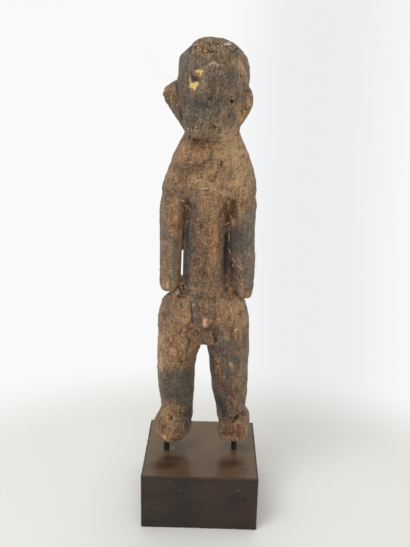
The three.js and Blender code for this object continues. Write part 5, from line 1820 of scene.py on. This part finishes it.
def stainedWoodFinish():
    # Dark patches on the sides, a lighter, browner top that is a painted reflection of the wall and the
    # figure, and over both the rim, the grain, scuffs, worn edges, the smear, the stain and the rubs, each
    # where its mask says. The rings are painted reflections of the feet on the top.
    finish = Finish(bpy.data.materials.new("stained_wood"))
    mix, rise, tinted = finish.mix, finish.rise, finish.tinted
    tones = {name: tone(*colour) for name, colour in block["tones"].items()}
    plain = finish.place()
    along = finish.place((0.07, 1, 1))
    blotch = finish.noise(plain, 46, 3)
    patch = finish.noise(finish.place((1, 1, 1.7)), 30, 2)
    cloud = finish.noise(plain, 12, 4)
    grain = finish.noise(along, 2.2, 4, 0.6)
    grit = finish.noise(plain, 1.5, 2)
    depth, height = finish.along(plain, "Y"), finish.along(plain, "Z")
    top = rise(height, 0.0484, 0.0494)
    sides = mix(rise(blotch, 0.42, 0.58), tones["side"], tones["sideWarm"])
    sides = mix(rise(patch, 0.5, 0.64) * 0.8, sides, tones["sideOlive"])
    sides = mix(rise(cloud, 0.46, 0.66) * 0.6, sides, tones["sideBlack"])
    # The top's lighter, browner colour is a painted reflection of the wall and the figure.
    topWithReflection = mix(rise(blotch, 0.4, 0.62), tones["top"], tones["topWarm"])
    topWithReflection = mix(rise(patch, 0.48, 0.66) * 0.6, topWithReflection, tones["topOlive"])
    # Paler towards the back: a painted reflection.
    topWithReflection = mix(rise(depth, -0.03, 0.04) * 0.6, topWithReflection, tones["topBackReflection"])
    # Painted reflections of the feet darken the top.
    topWithReflection = tinted(finish.mask("rings") * 0.8, topWithReflection, tones["footReflectionTint"])
    # The top takes that painted reflection; the sides keep the stain's dark colour.
    colour = mix(top, sides, topWithReflection)
    rim = finish.mask("rim")
    colour = mix(rim * 0.75, colour, tones["rim"])
    colour = tinted(rise(grain, 0.46, 0.68) * 0.4, colour, tones["grainTint"])
    scuff = rise(grit, 0.62, 0.7) * rise(cloud, 0.5, 0.62)
    colour = mix(scuff * 0.25, colour, tones["scuff"])
    worn = finish.mask("edge")
    colour = mix(rise(worn + (cloud - 0.5) * 1.4, 0.6, 1.2) * 0.45, colour, tones["edge"])
    smear = rise(finish.mask("smear") + (grain - 0.5) * 0.5, 0.2, 0.8)
    colour = mix(smear * 0.6, colour, tones["smear"])
    colour = tinted(finish.mask("stain") * 0.9, colour, tones["stainTint"])
    rub = rise(finish.mask("rub") + (grit - 0.5) * 0.8, 0.3, 0.9)
    colour = mix(rub * 0.5, colour, tones["rub"])
    finish.set("Base Color", colour)
    rough = 0.32 + (cloud - 0.5) * 0.2 + (grit - 0.5) * 0.14 + 0.15 * worn + 0.3 * rim - 0.06 * top
    finish.set("Roughness", rough.clamped())
    finish.set("Specular IOR Level", 0.3)
    finish.set("Specular Tint", (1, 0.9, 0.75, 1))
    finish.relief(grain * 0.6 + grit * 0.4 - scuff * 0.4, 0.12, 0.5)
    return finish.owner


def oval(across, up, spot, inner, outer):
    # 1 within `inner` of an oval's half widths, 0 beyond `outer`, and a smooth step between.
    middleAcross, middleUp, wide, high = spot
    reach = np.hypot((across - middleAcross) / wide, (up - middleUp) / high)
    return smoothStep(-reach, -outer, -inner)


def makeBlock():
    # The worn box, with a mask for each thing that its finish shows in one place only.
    points, faces = wornBox()
    piece = makePiece("display_block", points, faces, stainedWoodFinish(), ["block"])
    points, _ = meshArrays(piece.data)
    x, y, z = points.T
    half = np.array(block["half"], float)
    edgeReach = np.sort(half - np.abs(points - (0, 0, half[2])), axis=1)[:, 1]
    upright = smoothStep(np.abs(z - half[2]), half[2] - 1, half[2] - 4)
    onTop = z > 2 * half[2] - 1
    onFront = y < 2 - half[1]
    setMask(piece.data, "edge", smoothStep(-edgeReach, -2.4, 0) * (0.15 + 0.85 * upright))
    setMask(piece.data, "rim", smoothStep(-edgeReach, -1.7, -0.9) * smoothStep(z, *block["rim"]))
    setMask(piece.data, "smear", oval(x, y, block["smear"], 0.6, 1.3) * onTop)
    # Painted reflections of the feet on the top
    rings = [oval(x, y, ring, 0.4, 1.2) for ring in block["rings"]]
    setMask(piece.data, "rings", np.max(rings, axis=0) * onTop)
    setMask(piece.data, "stain", oval(x, z, block["stain"], 0, 1) * onFront)
    stretch = block["rubStretch"]
    rubs = [oval(x, z, (rubX, rubZ, stretch * high, high), 0.3, 1) for rubX, rubZ, high in block["rubs"]]
    setMask(piece.data, "rub", np.max(rubs, axis=0) * onFront)


makeBlock()
print("block made")


# The steel pins: rough black rod, which runs into the block below and the foot above

pin = {
    "radius": 2.48,
    "sides": 28,
    "rings": 90,
    "bevel": (0.6, 0.4),  # how far it draws in at both ends, and over what length
    "pitting": (0.05, (1.4, 1.4, 2.2)),  # share of the radius, and size of the pits
    # x, y, lower and upper end
    "stands": {"pin_left": (-31, -4.5, 31, 79), "pin_right": (30, 0.5, 31, 83)},
    "tones": {"dark": (30, 27, 24), "brown": (44, 38, 32), "scratchGlint": (120, 112, 98)},
}


def blackSteelFinish():
    # Two dark tones in patches, with fine bright streaks along the rod: scratches in the relief, painted
    # glints in the colour.
    finish = Finish(bpy.data.materials.new("black_steel"))
    mix, rise = finish.mix, finish.rise
    tones = {name: tone(*colour) for name, colour in pin["tones"].items()}
    cloud = finish.noise(finish.place(), 2.4, 3)
    scratchGlint = finish.noise(finish.place((1, 1, 0.15)), 0.8, 3)
    colour = mix(rise(cloud, 0.4, 0.7), tones["dark"], tones["brown"])
    # The bright streaks are painted glints.
    colour = mix(rise(scratchGlint, 0.6, 0.7) * 0.6, colour, tones["scratchGlint"])
    finish.set("Base Color", colour)
    finish.set("Metallic", 0.35)
    finish.set("Roughness", (0.38 + (cloud - 0.5) * 0.4).clamped())
    finish.relief(cloud * 0.6 + scratchGlint * 0.4, 0.25, 0.7)
    return finish.owner


def makePins():
    # A straight tube with a bevel at each end, whose radius shrinks by a few hundredths in the pits.
    finish = blackSteelFinish()
    drawIn, length = pin["bevel"]
    pitting, pitSize = pin["pitting"]
    for name, (x, y, low, high) in pin["stands"].items():
        between = np.linspace(low + 5 * length, high - 5 * length, pin["rings"])
        heights = np.concatenate([[low, low + length], between, [high - length, high]])
        radii = np.full(len(heights), float(pin["radius"]))
        radii[[0, -1]] -= drawIn
        path = np.column_stack([np.full(len(heights), x), np.full(len(heights), y), heights])
        points, faces = tube(path, radii, pin["sides"])
        middle = np.array((x, y))
        shrink = 1 - pitting * smoothStep(softNoise(points, pitSize, 81), 0, 0.8)
        points[:, :2] = middle + (points[:, :2] - middle) * shrink[:, None]
        makePiece(name + "_rod", points, faces, finish, [name])


makePins()
print("pins made")
